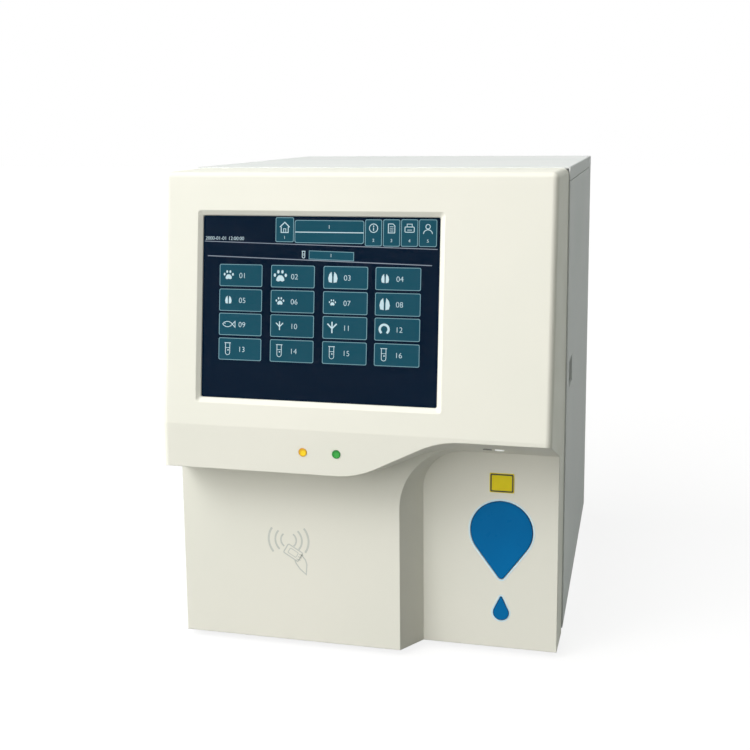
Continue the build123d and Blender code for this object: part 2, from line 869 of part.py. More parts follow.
# Cooling fan: frame with a hub on four struts, a bladed rotor and a finger guard
fan_hub = 17.0
fan_shaft = 2.0
strut_width = 4.0
hub_plate = 3.0
blade_count = 7
blade_length = 20.0
blade_chord = 17.0
blade_thickness = 1.6
blade_pitch = 35.0
with BuildPart() as fan_frame:
    fan_front = rear_inner - fan_thickness
    with BuildSketch(rear_plane(fan_x, fan_front, fan_z)):
        RectangleRounded(fan_size, fan_size, 4)
        Circle(fan_bore, mode=Mode.SUBTRACT)
        with GridLocations(fan_screw_pitch, fan_screw_pitch, 2, 2):
            Circle(screw_shank + screw_gap, mode=Mode.SUBTRACT)
    extrude(amount=fan_thickness)
    with BuildSketch(rear_plane(fan_x, fan_front, fan_z)):
        Circle(fan_hub)
        Rectangle(2 * fan_bore + 2, strut_width)
        Rectangle(strut_width, 2 * fan_bore + 2)
        Circle(fan_shaft + running_gap, mode=Mode.SUBTRACT)
    extrude(amount=hub_plate)
write("fan_frame", fan_frame.part)

with BuildPart() as fan_rotor:
    rotor_plane = rear_plane(fan_x, fan_front + hub_plate + 1.0, fan_z)
    hub_length = fan_thickness - hub_plate - 4.0
    with BuildSketch(rotor_plane):
        Circle(fan_hub)
    extrude(amount=hub_length)
    with BuildSketch(rotor_plane):
        Circle(fan_shaft)
    extrude(amount=-hub_plate)
    with Locations(rotor_plane.offset(hub_length / 2)):
        with PolarLocations(fan_hub + blade_length / 2 - 1.0, blade_count):
            Box(blade_length, blade_thickness, blade_chord, rotation=(blade_pitch, 0, 0))
write("fan_rotor", fan_rotor.part)

guard_wire = 1.5
with BuildPart() as fan_guard:
    with BuildSketch(rear_plane(fan_x, rear_face, fan_z)):
        for ring in range(4):
            ring_radius = fan_bore + 2.0 - ring * 9.0
            Circle(ring_radius)
            Circle(ring_radius - guard_wire, mode=Mode.SUBTRACT)
        Rectangle(2 * fan_bore + 2, guard_wire)
        Rectangle(guard_wire, 2 * fan_bore + 2)
    extrude(amount=guard_wire)
write("fan_guard", fan_guard.part)

# Mains module: inlet socket with three pins below, rocker switch above
module_flange = 2.0
module_depth = 28.0
socket_width = 24.0
socket_height = 16.5
socket_depth = 15.0
socket_z = mains_z - 13.0
rocker_z = mains_z + 14.0
rocker_width = 12.4
rocker_height = 17.6
rocker_open_width = rocker_width + 2 * seat_gap
rocker_open_height = 19.4
rocker_depth = 9.0
rocker_pin = 1.5
rocker_tilt = 10.0
pin_places = [(-7.0, -2.0), (7.0, -2.0), (0.0, 2.0)]
with BuildPart() as mains_module:
    with BuildSketch(rear_plane(mains_x, rear_face, mains_z)):
        RectangleRounded(mains_width + 4, mains_height + 4, 2)
    extrude(amount=module_flange)
    with BuildSketch(rear_plane(mains_x, rear_face, mains_z)):
        Rectangle(mains_width, mains_height)
    extrude(amount=-module_depth)
    with BuildSketch(rear_plane(mains_x, rear_face + module_flange, socket_z)):
        RectangleRounded(socket_width, socket_height, 2.5)
    extrude(amount=-socket_depth, mode=Mode.SUBTRACT)
    with BuildSketch(rear_plane(mains_x, rear_face + module_flange - socket_depth, socket_z)):
        with Locations(*pin_places):
            Rectangle(2, 4)
    extrude(amount=socket_depth - 3.0)
    with BuildSketch(rear_plane(mains_x, rear_face + module_flange, rocker_z)):
        Rectangle(rocker_open_width, rocker_open_height)
    extrude(amount=-(rocker_depth + module_flange), mode=Mode.SUBTRACT)
    bar(
        (mains_x - rocker_width / 2 - 2, rear_face, rocker_z),
        along_x,
        rocker_width + 4,
        rocker_pin + running_gap,
        Mode.SUBTRACT,
    )
write("mains_module", mains_module.part)

# Rocker with two faces at an angle, on a pin along X, resting with its upper half pressed
with BuildPart() as power_rocker:
    with BuildSketch(right_plane(mains_x - rocker_width / 2, rear_face, rocker_z)):
        with BuildLine(Rotation(0, 0, rocker_tilt)):
            Polyline(
                (1.2, 0),
                (2.4, rocker_height / 2),
                (-3.0, rocker_height / 2 - 1),
                (-6.0, 0),
                (-3.0, 1 - rocker_height / 2),
                (2.4, -rocker_height / 2),
                close=True,
            )
        make_face()
    extrude(amount=rocker_width)
    bar(
        (mains_x - rocker_width / 2 - 1.5, rear_face, rocker_z),
        along_x,
        rocker_width + 3,
        rocker_pin,
    )
write("power_rocker", power_rocker.part)

# Data sockets in the rear panel, each a lipped shell open to the rear
port_wall = 1.5
port_depth = 16.0
with BuildPart() as data_ports:
    for place, port_size in zip(port_places, port_sizes):
        with BuildSketch(rear_plane(place[0], rear_face, place[1])):
            Rectangle(port_size[0] + 3, port_size[1] + 3)
        extrude(amount=0.8)
        with BuildSketch(rear_plane(place[0], rear_face, place[1])):
            Rectangle(port_size[0], port_size[1])
        extrude(amount=-port_depth)
        with BuildSketch(rear_plane(place[0], rear_face + 0.8, place[1])):
            Rectangle(port_size[0] - 2 * port_wall, port_size[1] - 2 * port_wall)
        extrude(amount=-(port_depth - port_wall), mode=Mode.SUBTRACT)
write("data_ports", data_ports.part)

# Fluid fittings: flange and spigot outside, threaded body and nut inside
fitting_flange = 8.0
spigot_radius = 3.0
spigot_bore = 1.5
fitting_nut = 7.5
with BuildPart() as fluid_ports:
    with BuildSketch(front_plane(0, rear_face, 0)):
        with Locations(*fitting_places):
            Circle(fitting_flange)
    extrude(amount=-3)
    with BuildSketch(front_plane(0, rear_face + 3, 0)):
        with Locations(*fitting_places):
            Circle(spigot_radius)
    extrude(amount=-10)
    with BuildSketch(front_plane(0, rear_face, 0)):
        with Locations(*fitting_places):
            Circle(fitting_body)
    extrude(amount=14)
    with BuildSketch(front_plane(0, rear_inner, 0)):
        with Locations(*fitting_places):
            RegularPolygon(fitting_nut, 6)
    extrude(amount=4)
    with BuildSketch(front_plane(0, rear_face + 14, 0)):
        with Locations(*fitting_places):
            Circle(spigot_bore)
    extrude(amount=30, mode=Mode.SUBTRACT)
write("fluid_ports", fluid_ports.part)

screw_head = 3.0
with BuildPart() as rear_screws:
    with BuildSketch(front_plane(0, rear_face, 0)):
        with Locations(*rear_screw_places, *fan_screw_places):
            Circle(screw_head)
    extrude(amount=-2)
    with BuildSketch(front_plane(0, rear_face, 0)):
        with Locations(*rear_screw_places, *fan_screw_places):
            Circle(screw_shank)
    extrude(amount=8)
write("rear_screws", rear_screws.part)

# Fluidics plate: upright sheet with a foot on the base and a nose that reaches into the head
plate_front = seam_y + 6.5
plate_rear = seam_y + 274.5
plate_high = cover_top - 25.0
nose_front = probe_y - 10.0
nose_low = bush_top + 52.0
nose_high = cover_top - 40.0
foot_reach = 16.0
rod_z = probe_window_low + 85.0
rod_x = module_x + 14.0
block_thick = 8.0
block_half = 8.0
carriage_y = probe_y + 25.0
rod_start = probe_y - 9.0
rod_end = carriage_y + carriage_travel + 44.0
belt_z = rod_z + rod_pitch / 2
idler_y = carriage_y - 16.0
drive_y = carriage_y + carriage_travel + 23.0
pulley_start = module_x + 1.5
pump_y = seam_y + pump_behind_seam
pump_z = 240.0
shaft_hole = 4.0
stud_radius = 2.5
with BuildPart() as fluidics_plate:
    block((plate_x, plate_front, base_top), (module_x, plate_rear, plate_high))
    block((plate_x, nose_front, nose_low), (module_x, plate_front, nose_high))
    block((plate_x - foot_reach, plate_front, base_top), (plate_x, plate_rear, base_top + plate_thick))
    bar((plate_x - 1, drive_y, belt_z), along_x, plate_thick + 2, shaft_hole, Mode.SUBTRACT)
    bar((plate_x - 1, pump_y, pump_z), along_x, plate_thick + 2, shaft_hole, Mode.SUBTRACT)
    bar((plate_x, idler_y, belt_z), along_x, pulley_start + belt_width + 1.5 - plate_x, stud_radius)
write("fluidics_plate", fluidics_plate.part)

# Horizontal guide: two rods between end blocks on the plate
with BuildPart() as rod_blocks:
    for block_y in (rod_start, rod_end - block_thick):
        block(
            (module_x, block_y, rod_z - 10),
            (rod_x + block_half, block_y + block_thick, rod_z + rod_pitch + 10),
        )
    rod_bore = rod_radius + running_gap
    for height in (rod_z, rod_z + rod_pitch):
        bar((rod_x, rod_start, height), along_y, rod_end - rod_start, rod_bore, Mode.SUBTRACT)
write("rod_blocks", rod_blocks.part)

with BuildPart() as guide_rods:
    for height in (rod_z, rod_z + rod_pitch):
        bar((rod_x, rod_start, height), along_y, rod_end - rod_start, rod_radius)
write("guide_rods", guide_rods.part)

# Carriage: slider on the rods, an upright, two shelves, the lift rod and the belt clamp
carriage_half = 14.0
slider_half = 7.0
upright_x = rod_x + slider_half
upright_thick = 5.0
shelf = 5.0
arm_height = 10.0
arm_low = bush_top + 134.0
arm_end_gap = 16.7
lift_low = arm_low - probe_travel - arm_end_gap - shelf
lift_high = arm_low + 26.0
lift_rod_radius = 3.0
lift_screw_x = probe_x + 8.5
journal_radius = 2.0
motor_size = 28.0
motor_length = 26.0
shelf_end = lift_screw_x + motor_size / 2
jaw = 3.6
with BuildPart() as probe_carriage:
    low_y = carriage_y - carriage_half
    high_y = carriage_y + carriage_half
    outer_x = upright_x + upright_thick
    block((rod_x - slider_half, low_y, rod_z - 10), (upright_x, high_y, rod_z + rod_pitch + 10))
    block((upright_x, low_y, lift_low), (outer_x, high_y, lift_high))
    block((outer_x, low_y, lift_low), (shelf_end, high_y, lift_low + shelf))
    block((outer_x, low_y, lift_high - shelf), (shelf_end, high_y, lift_high))
    belt_top = belt_z + pulley_radius
    for jaw_low in (belt_top - seat_gap - jaw, belt_top + belt_thickness + seat_gap):
        block(
            (pulley_start - seat_gap, carriage_y, jaw_low),
            (rod_x - slider_half, carriage_y + 12.0, jaw_low + jaw),
        )
    for height in (rod_z, rod_z + rod_pitch):
        bar((rod_x, low_y - 1, height), along_y, 2 * carriage_half + 2, rod_bore, Mode.SUBTRACT)
    bar((probe_x, carriage_y, lift_low + shelf), along_z, lift_high - lift_low - 2 * shelf, lift_rod_radius)
    bar(
        (lift_screw_x, carriage_y, lift_low - 1),
        along_z,
        lift_high - lift_low + 2,
        journal_radius + running_gap,
        Mode.SUBTRACT,
    )
write("probe_carriage", probe_carriage.part)


def lead_screw(x, y, low, high, tail_low, tail_high):
    """Lead screw between two supports, with thinner journals beyond them."""
    with BuildPart() as screw:
        bar((x, y, low + seat_gap), along_z, high - low - 2 * seat_gap, screw_radius)
        bar((x, y, tail_low), along_z, tail_high - tail_low, journal_radius)
    return screw.part


def small_motor(x, y, low, bore_from_top):
    """Square stepper motor with a blind bore for the screw's journal."""
    half = motor_size / 2
    bore = 10.0
    bore_low = low + motor_length - bore if bore_from_top else low
    with BuildPart() as motor:
        block((x - half, y - half, low), (x + half, y + half, low + motor_length))
        chamfer(motor.edges().filter_by(Axis.Z), length=2)
        bar((x, y, bore_low), along_z, bore, journal_radius + running_gap, Mode.SUBTRACT)
    return motor.part


write(
    "lift_screw",
    lead_screw(lift_screw_x, carriage_y, lift_low + shelf, lift_high - shelf, lift_low, lift_high + 8.0),
)
write("lift_motor", small_motor(lift_screw_x, carriage_y, lift_high, False))

# Probe arm on the lift rod and screw, and the steel sample probe in its nose
arm_reach = 8.0
arm_nose = 4.0
probe_above_arm = 12.0
with BuildPart() as probe_arm:
    block(
        (probe_x - 5.5, carriage_y - arm_reach, arm_low),
        (lift_screw_x + 6.5, carriage_y + arm_reach, arm_low + arm_height),
    )
    block(
        (probe_x - arm_nose, probe_y - arm_nose, arm_low),
        (probe_x + arm_nose, carriage_y - arm_reach, arm_low + arm_height),
    )
    arm_holes = (
        (probe_x, carriage_y, lift_rod_radius),
        (lift_screw_x, carriage_y, screw_radius),
        (probe_x, probe_y, probe_radius),
    )
    for hole_x, hole_y, hole_radius in arm_holes:
        hole_start = (hole_x, hole_y, arm_low - 1)
        bar(hole_start, along_z, arm_height + 2, hole_radius + running_gap, Mode.SUBTRACT)
write("probe_arm", probe_arm.part)

with BuildPart() as sample_probe:
    tip_z = bush_top + probe_rest_gap
    bar((probe_x, probe_y, tip_z), along_z, arm_low + arm_height + probe_above_arm - tip_z, probe_radius)
    bar((probe_x, probe_y, arm_low + arm_height), along_z, probe_above_arm / 2, 2 * probe_radius)
write("sample_probe", sample_probe.part)

# Belt drive of the carriage
drive_motor_size = 42.0
drive_motor_length = 34.0
with BuildPart() as drive_pulley:
    bar((pulley_start, drive_y, belt_z), along_x, belt_width + 0.5, pulley_radius)
    bar((plate_x - 12.0, drive_y, belt_z), along_x, pulley_start + 12.0 - plate_x, stud_radius)
write("drive_pulley", drive_pulley.part)

with BuildPart() as idler_pulley:
    bar((pulley_start, idler_y, belt_z), along_x, belt_width + 0.5, pulley_radius)
    bar(
        (pulley_start - 1, idler_y, belt_z),
        along_x,
        belt_width + 3,
        stud_radius + running_gap,
        Mode.SUBTRACT,
    )
write("idler_pulley", idler_pulley.part)

with BuildPart() as drive_belt:
    belt_middle = (idler_y + drive_y) / 2
    inner_radius = pulley_radius + running_gap
    outer_radius = inner_radius + belt_thickness - running_gap
    with BuildSketch(right_plane(pulley_start, belt_middle, belt_z)):
        SlotCenterToCenter(drive_y - idler_y, 2 * outer_radius)
        SlotCenterToCenter(drive_y - idler_y, 2 * inner_radius, mode=Mode.SUBTRACT)
    extrude(amount=belt_width)
write("drive_belt", drive_belt.part)

with BuildPart() as carriage_motor:
    half = drive_motor_size / 2
    block(
        (plate_x - drive_motor_length, drive_y - half, belt_z - half),
        (plate_x, drive_y + half, belt_z + half),
    )
    chamfer(carriage_motor.edges().filter_by(Axis.X), length=4)
    bar((plate_x - 13.0, drive_y, belt_z), along_x, 13.0, stud_radius + running_gap, Mode.SUBTRACT)
write("carriage_motor", carriage_motor.part)

# Two counting baths in a bracket, the front one below the probe's rear position
bath_places = [(probe_x, probe_y + carriage_travel + i * bath_pitch) for i in range(2)]
bath_low = 128.0
bath_high = 192.0
bath_outer = 14.0
bath_inner = 11.0
bath_floor = 4.0
bath_shelf = 144.0
bath_collar = 16.0
with BuildPart() as bath_bracket:
    shelf_high = bath_shelf + 6.0
    start_y = bath_places[0][1] - bath_collar - 2
    end_y = bath_places[1][1] + bath_collar + 2
    block((module_x, start_y, bath_shelf), (probe_x + bath_collar, end_y, shelf_high))
    block((module_x, start_y, shelf_high), (module_x + 3, end_y, shelf_high + 20))
    with BuildSketch(Plane.XY.offset(bath_shelf - 1)):
        with Locations(*bath_places):
            Circle(bath_outer + screw_gap)
    extrude(amount=8, mode=Mode.SUBTRACT)
write("bath_bracket", bath_bracket.part)

with BuildPart() as counting_baths:
    for place in bath_places:
        bar((*place, bath_low), along_z, bath_high - bath_low, bath_outer)
        bar((*place, shelf_high), along_z, 3, bath_collar)
        bar((*place, bath_low + bath_floor), along_z, bath_high - bath_low, bath_inner, Mode.SUBTRACT)
        bar((*place, bath_low - 8), along_z, 8, 3)
write("counting_baths", counting_baths.part)

# Metering syringe: frame with a guide rod, glass barrel, plunger with coupler, lead screw
syringe_from_plate = 28.0
syringe_x = module_x + syringe_from_plate
syringe_y = seam_y + syringe_behind_seam
syringe_low = 96.0
syringe_high = 312.0
syringe_plate = 3.0
low_end = 8.0
high_end = 10.0
frame_ends = (syringe_low + low_end, syringe_high - high_end)
plunger_travel = 45.0
barrel_outer = 9.0
barrel_inner = 7.0
barrel_cap = 4.0
barrel_spare = 17.0
barrel_low = frame_ends[1] - barrel_cap - plunger_travel - barrel_spare
coupler_height = 10.0
coupler_end_gap = 37.0
coupler_low = frame_ends[0] + plunger_travel + coupler_end_gap
guide_pitch = 22.0
screw_pitch = 38.0
guide_y = syringe_y + guide_pitch
screw_y = syringe_y + screw_pitch
frame_past_barrel = 20.0
frame_past_screw = 18.0
with BuildPart() as syringe_frame:
    near_x = module_x + syringe_plate
    far_x = syringe_x + frame_past_screw
    ends_y = (syringe_y - frame_past_barrel, screw_y + frame_past_screw)
    block((module_x, ends_y[0], syringe_low), (near_x, ends_y[1], syringe_high))
    block((near_x, ends_y[0], syringe_low), (far_x, ends_y[1], frame_ends[0]))
    block((near_x, ends_y[0], frame_ends[1]), (far_x, ends_y[1], syringe_high))
    block((near_x, syringe_y - 12, barrel_low + 6), (syringe_x + 12, syringe_y + 12, barrel_low + 14))
    bar(
        (syringe_x, syringe_y, barrel_low),
        along_z,
        20,
        barrel_outer + running_gap,
        Mode.SUBTRACT,
    )
    bar((syringe_x, guide_y, frame_ends[0]), along_z, frame_ends[1] - frame_ends[0], lift_rod_radius)
    bar((syringe_x, screw_y, syringe_low - 1), along_z, 10, journal_radius + running_gap, Mode.SUBTRACT)
write("syringe_frame", syringe_frame.part)

with BuildPart() as syringe_barrel:
    bar((syringe_x, syringe_y, barrel_low), along_z, frame_ends[1] - barrel_low, barrel_outer)
    bar(
        (syringe_x, syringe_y, barrel_low),
        along_z,
        frame_ends[1] - barrel_low - barrel_cap,
        barrel_inner,
        Mode.SUBTRACT,
    )
write("syringe_barrel", syringe_barrel.part)

with BuildPart() as syringe_plunger:
    coupler_high = coupler_low + coupler_height
    piston_high = frame_ends[1] - barrel_cap - 2.0
    block(
        (syringe_x - 9, syringe_y - 8, coupler_low),
        (syringe_x + 9, screw_y + 8, coupler_high),
    )
    bar((syringe_x, guide_y, coupler_low - 1), along_z, 12, lift_rod_radius + running_gap, Mode.SUBTRACT)
    bar((syringe_x, screw_y, coupler_low - 1), along_z, 12, screw_radius + running_gap, Mode.SUBTRACT)
    bar((syringe_x, syringe_y, coupler_high), along_z, piston_high - coupler_high, 3)
    bar((syringe_x, syringe_y, piston_high - 8), along_z, 8, barrel_inner - screw_gap)
write("syringe_plunger", syringe_plunger.part)

write(
    "syringe_screw",
    lead_screw(syringe_x, screw_y, frame_ends[0], frame_ends[1], syringe_low - 8.0, frame_ends[0] + 1.0),
)
write("syringe_motor", small_motor(syringe_x, screw_y, syringe_low - motor_length, True))

# Waste pump: housing with a round chamber, three-roller rotor, tube and motor
pump_size = 60.0
pump_depth = 20.0
pump_floor = 2.0
chamber_radius = 24.0
roller_radius = 6.0
roller_circle = 11.8
pump_disc = 14.0
pump_tube_radius = 2.2
pump_motor_radius = 18.0
pump_motor_length = 32.0
with BuildPart() as pump_head:
    with BuildSketch(right_plane(module_x, pump_y, pump_z)):
        RectangleRounded(pump_size, pump_size, 5)
    extrude(amount=pump_depth)
    with BuildSketch(right_plane(module_x + pump_floor, pump_y, pump_z)):
        Circle(chamber_radius)
    extrude(amount=pump_depth, mode=Mode.SUBTRACT)
    bar((module_x - 1, pump_y, pump_z), along_x, pump_floor + 2, shaft_hole, Mode.SUBTRACT)
write("pump_head", pump_head.part)

with BuildPart() as pump_rotor:
    rotor_low = module_x + pump_floor + 1.0
    rotor_length = pump_depth - pump_floor - 2.0
    with BuildSketch(right_plane(rotor_low, pump_y, pump_z)):
        with PolarLocations(roller_circle, 3):
            Circle(roller_radius)
        Circle(roller_circle - roller_radius + 1)
    extrude(amount=rotor_length)
    for disc_x in (rotor_low, rotor_low + rotor_length - 3):
        bar((disc_x, pump_y, pump_z), along_x, 3, pump_disc)
    bar((plate_x - 12.0, pump_y, pump_z), along_x, rotor_low - plate_x + 12.0, 3)
write("pump_rotor", pump_rotor.part)

with BuildPart() as pump_tube:
    tube_circle = chamber_radius - pump_tube_radius - seat_gap / 2
    tube_x = rotor_low + rotor_length / 2
    with BuildLine():
        arc = CenterArc((0, 0, 0), tube_circle, 20, 140)
    tube_arc = [Vector(tube_x, pump_y + v.X, pump_z + v.Y) for v in (arc @ 0, arc @ 0.5, arc @ 1)]
    with BuildLine() as tube_path:
        ThreePointArc(*tube_arc)
    with BuildSketch(Plane(origin=tube_arc[0], z_dir=tube_path.line % 0)):
        Circle(pump_tube_radius)
    sweep(path=tube_path.line)
write("pump_tube", pump_tube.part)

with BuildPart() as pump_motor:
    bar((plate_x - pump_motor_length, pump_y, pump_z), along_x, pump_motor_length, pump_motor_radius)
    bar((plate_x - 13.0, pump_y, pump_z), along_x, 14.0, 3 + running_gap, Mode.SUBTRACT)
write("pump_motor", pump_motor.part)

# Valve manifold with six solenoid valves
manifold_y = seam_y + manifold_behind_seam
manifold_length = 140.0
manifold_below_plate_top = 63.0
manifold_low = plate_high - manifold_below_plate_top
manifold_height = 36.0
manifold_depth = 14.0
valve_count = 6
valve_radius = 9.0
valve_length = 30.0
with BuildPart() as valve_manifold:
    block(
        (module_x, manifold_y, manifold_low),
        (module_x + manifold_depth, manifold_y + manifold_length, manifold_low + manifold_height),
    )
    chamfer(valve_manifold.edges().filter_by(Axis.Y), length=1.5)
write("valve_manifold", valve_manifold.part)

with BuildPart() as solenoid_valves:
    valve_plane = right_plane(
        module_x + manifold_depth, manifold_y + manifold_length / 2, manifold_low + manifold_height / 2
    )
    with BuildSketch(valve_plane):
        with GridLocations(manifold_length / valve_count, 0, valve_count, 1):
            Circle(valve_radius)
    extrude(amount=valve_length)
    with BuildSketch(valve_plane.offset(valve_length)):
        with GridLocations(manifold_length / valve_count, 0, valve_count, 1):
            Circle(valve_radius / 3)
    extrude(amount=4)
write("solenoid_valves", solenoid_valves.part)

# Vacuum chamber standing on the base
chamber_x = module_x + 32.0
chamber_y = seam_y + jar_behind_seam
jar_radius = 28.0
jar_height = 98.0
jar_cap = 6.0
with BuildPart() as vacuum_chamber:
    bar((chamber_x, chamber_y, base_top), along_z, jar_height, jar_radius)
    bar((chamber_x, chamber_y, base_top + jar_height), along_z, jar_cap, jar_radius + 2)
    for spigot_y in (-10, 10):
        bar((chamber_x, chamber_y + spigot_y, base_top + jar_height + jar_cap), along_z, 10, 3)
write("vacuum_chamber", vacuum_chamber.part)

# Power supply and main board on the base
supply_width = 92.0
supply_length = 155.0
supply_height = 50.0
with BuildPart() as power_supply:
    supply_x = left_x + side_flange + 2.0
    supply_y = rear_inner - supply_before_rear - supply_length
    supply_top = base_top + supply_height
    block(
        (supply_x, supply_y, base_top),
        (supply_x + supply_width, supply_y + supply_length, supply_top),
    )
    block(
        (supply_x + sheet, supply_y + sheet, base_top + sheet),
        (supply_x + supply_width - sheet, supply_y + supply_length - sheet, supply_top - sheet),
        Mode.SUBTRACT,
    )
    with BuildSketch(Plane.XY.offset(supply_top - 2 * sheet)):
        with Locations((supply_x + supply_width / 2, supply_y + supply_length / 2)):
            with GridLocations(0, slot_pitch, 1, slot_count):
                SlotOverall(slot_length, slot_width)
    extrude(amount=3 * sheet, mode=Mode.SUBTRACT)
write("power_supply", power_supply.part)

board_gap = 12.0
board_left = supply_x + supply_width + board_gap
board_right = plate_x - foot_reach - board_gap
board_x = (board_left + board_right) / 2
board_width = board_right - board_left
board_y_centre = seam_y + board_behind_seam
board_length = 200.0
standoff = 8.0
with BuildPart() as main_board:
    board_low = base_top + standoff
    with BuildSketch(Plane.XY.offset(board_low)):
        with Locations((board_x, board_y_centre)):
            Rectangle(board_width, board_length)
    extrude(amount=reader_thickness)
    with BuildSketch(Plane.XY.offset(base_top)):
        with Locations((board_x, board_y_centre)):
            with GridLocations(board_width - 10, board_length / 2 - 5, 2, 3):
                Circle(3)
    extrude(amount=standoff)
    with BuildSketch(Plane.XY.offset(board_low + reader_thickness)):
        with Locations((board_x, board_y_centre)):
            with GridLocations(34, 48, 3, 4):
                Rectangle(18, 18)
    extrude(amount=4)
write("main_board", main_board.part)
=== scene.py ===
import math

import bpy
from mathutils import Matrix, Vector


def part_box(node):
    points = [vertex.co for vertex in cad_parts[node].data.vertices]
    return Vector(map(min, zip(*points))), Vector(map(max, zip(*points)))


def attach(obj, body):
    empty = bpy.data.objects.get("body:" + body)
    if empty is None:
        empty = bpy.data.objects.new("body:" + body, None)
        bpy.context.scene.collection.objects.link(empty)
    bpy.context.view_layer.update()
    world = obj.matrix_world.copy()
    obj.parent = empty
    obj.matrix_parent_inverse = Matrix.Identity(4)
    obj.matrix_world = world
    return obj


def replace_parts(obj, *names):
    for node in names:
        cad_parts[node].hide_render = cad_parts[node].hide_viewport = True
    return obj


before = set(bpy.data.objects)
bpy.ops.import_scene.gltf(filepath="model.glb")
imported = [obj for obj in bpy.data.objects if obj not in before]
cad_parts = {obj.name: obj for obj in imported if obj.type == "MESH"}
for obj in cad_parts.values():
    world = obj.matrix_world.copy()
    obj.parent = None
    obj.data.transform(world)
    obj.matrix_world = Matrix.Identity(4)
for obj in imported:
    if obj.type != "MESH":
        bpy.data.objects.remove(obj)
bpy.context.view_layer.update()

MM = 0.001
finishes = {}


def corners_of(node_name):
    """Lowest and highest corner of a node."""
    return [Vector(corner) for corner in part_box(node_name)]


def middle_of(node_name):
    """Middle of a node's box."""
    low, high = corners_of(node_name)
    return (low + high) / 2


# Colours and procedural finishes

def tone(red, green, blue):
    """Linear colour of an sRGB colour given from 0 to 255."""
    def channel(value):
        share = value / 255
        return share / 12.92 if share <= 0.04045 else ((share + 0.055) / 1.055) ** 2.4
    return (channel(red), channel(green), channel(blue), 1.0)


def add_node(tree, kind, inputs=None, **settings):
    """Node with its settings, and its inputs set to values or linked to sockets."""
    made = tree.nodes.new(kind)
    for key, value in settings.items():
        setattr(made, key, value)
    for key, value in (inputs or {}).items():
        if isinstance(value, bpy.types.NodeSocket):
            tree.links.new(value, made.inputs[key])
        else:
            made.inputs[key].default_value = value
    return made


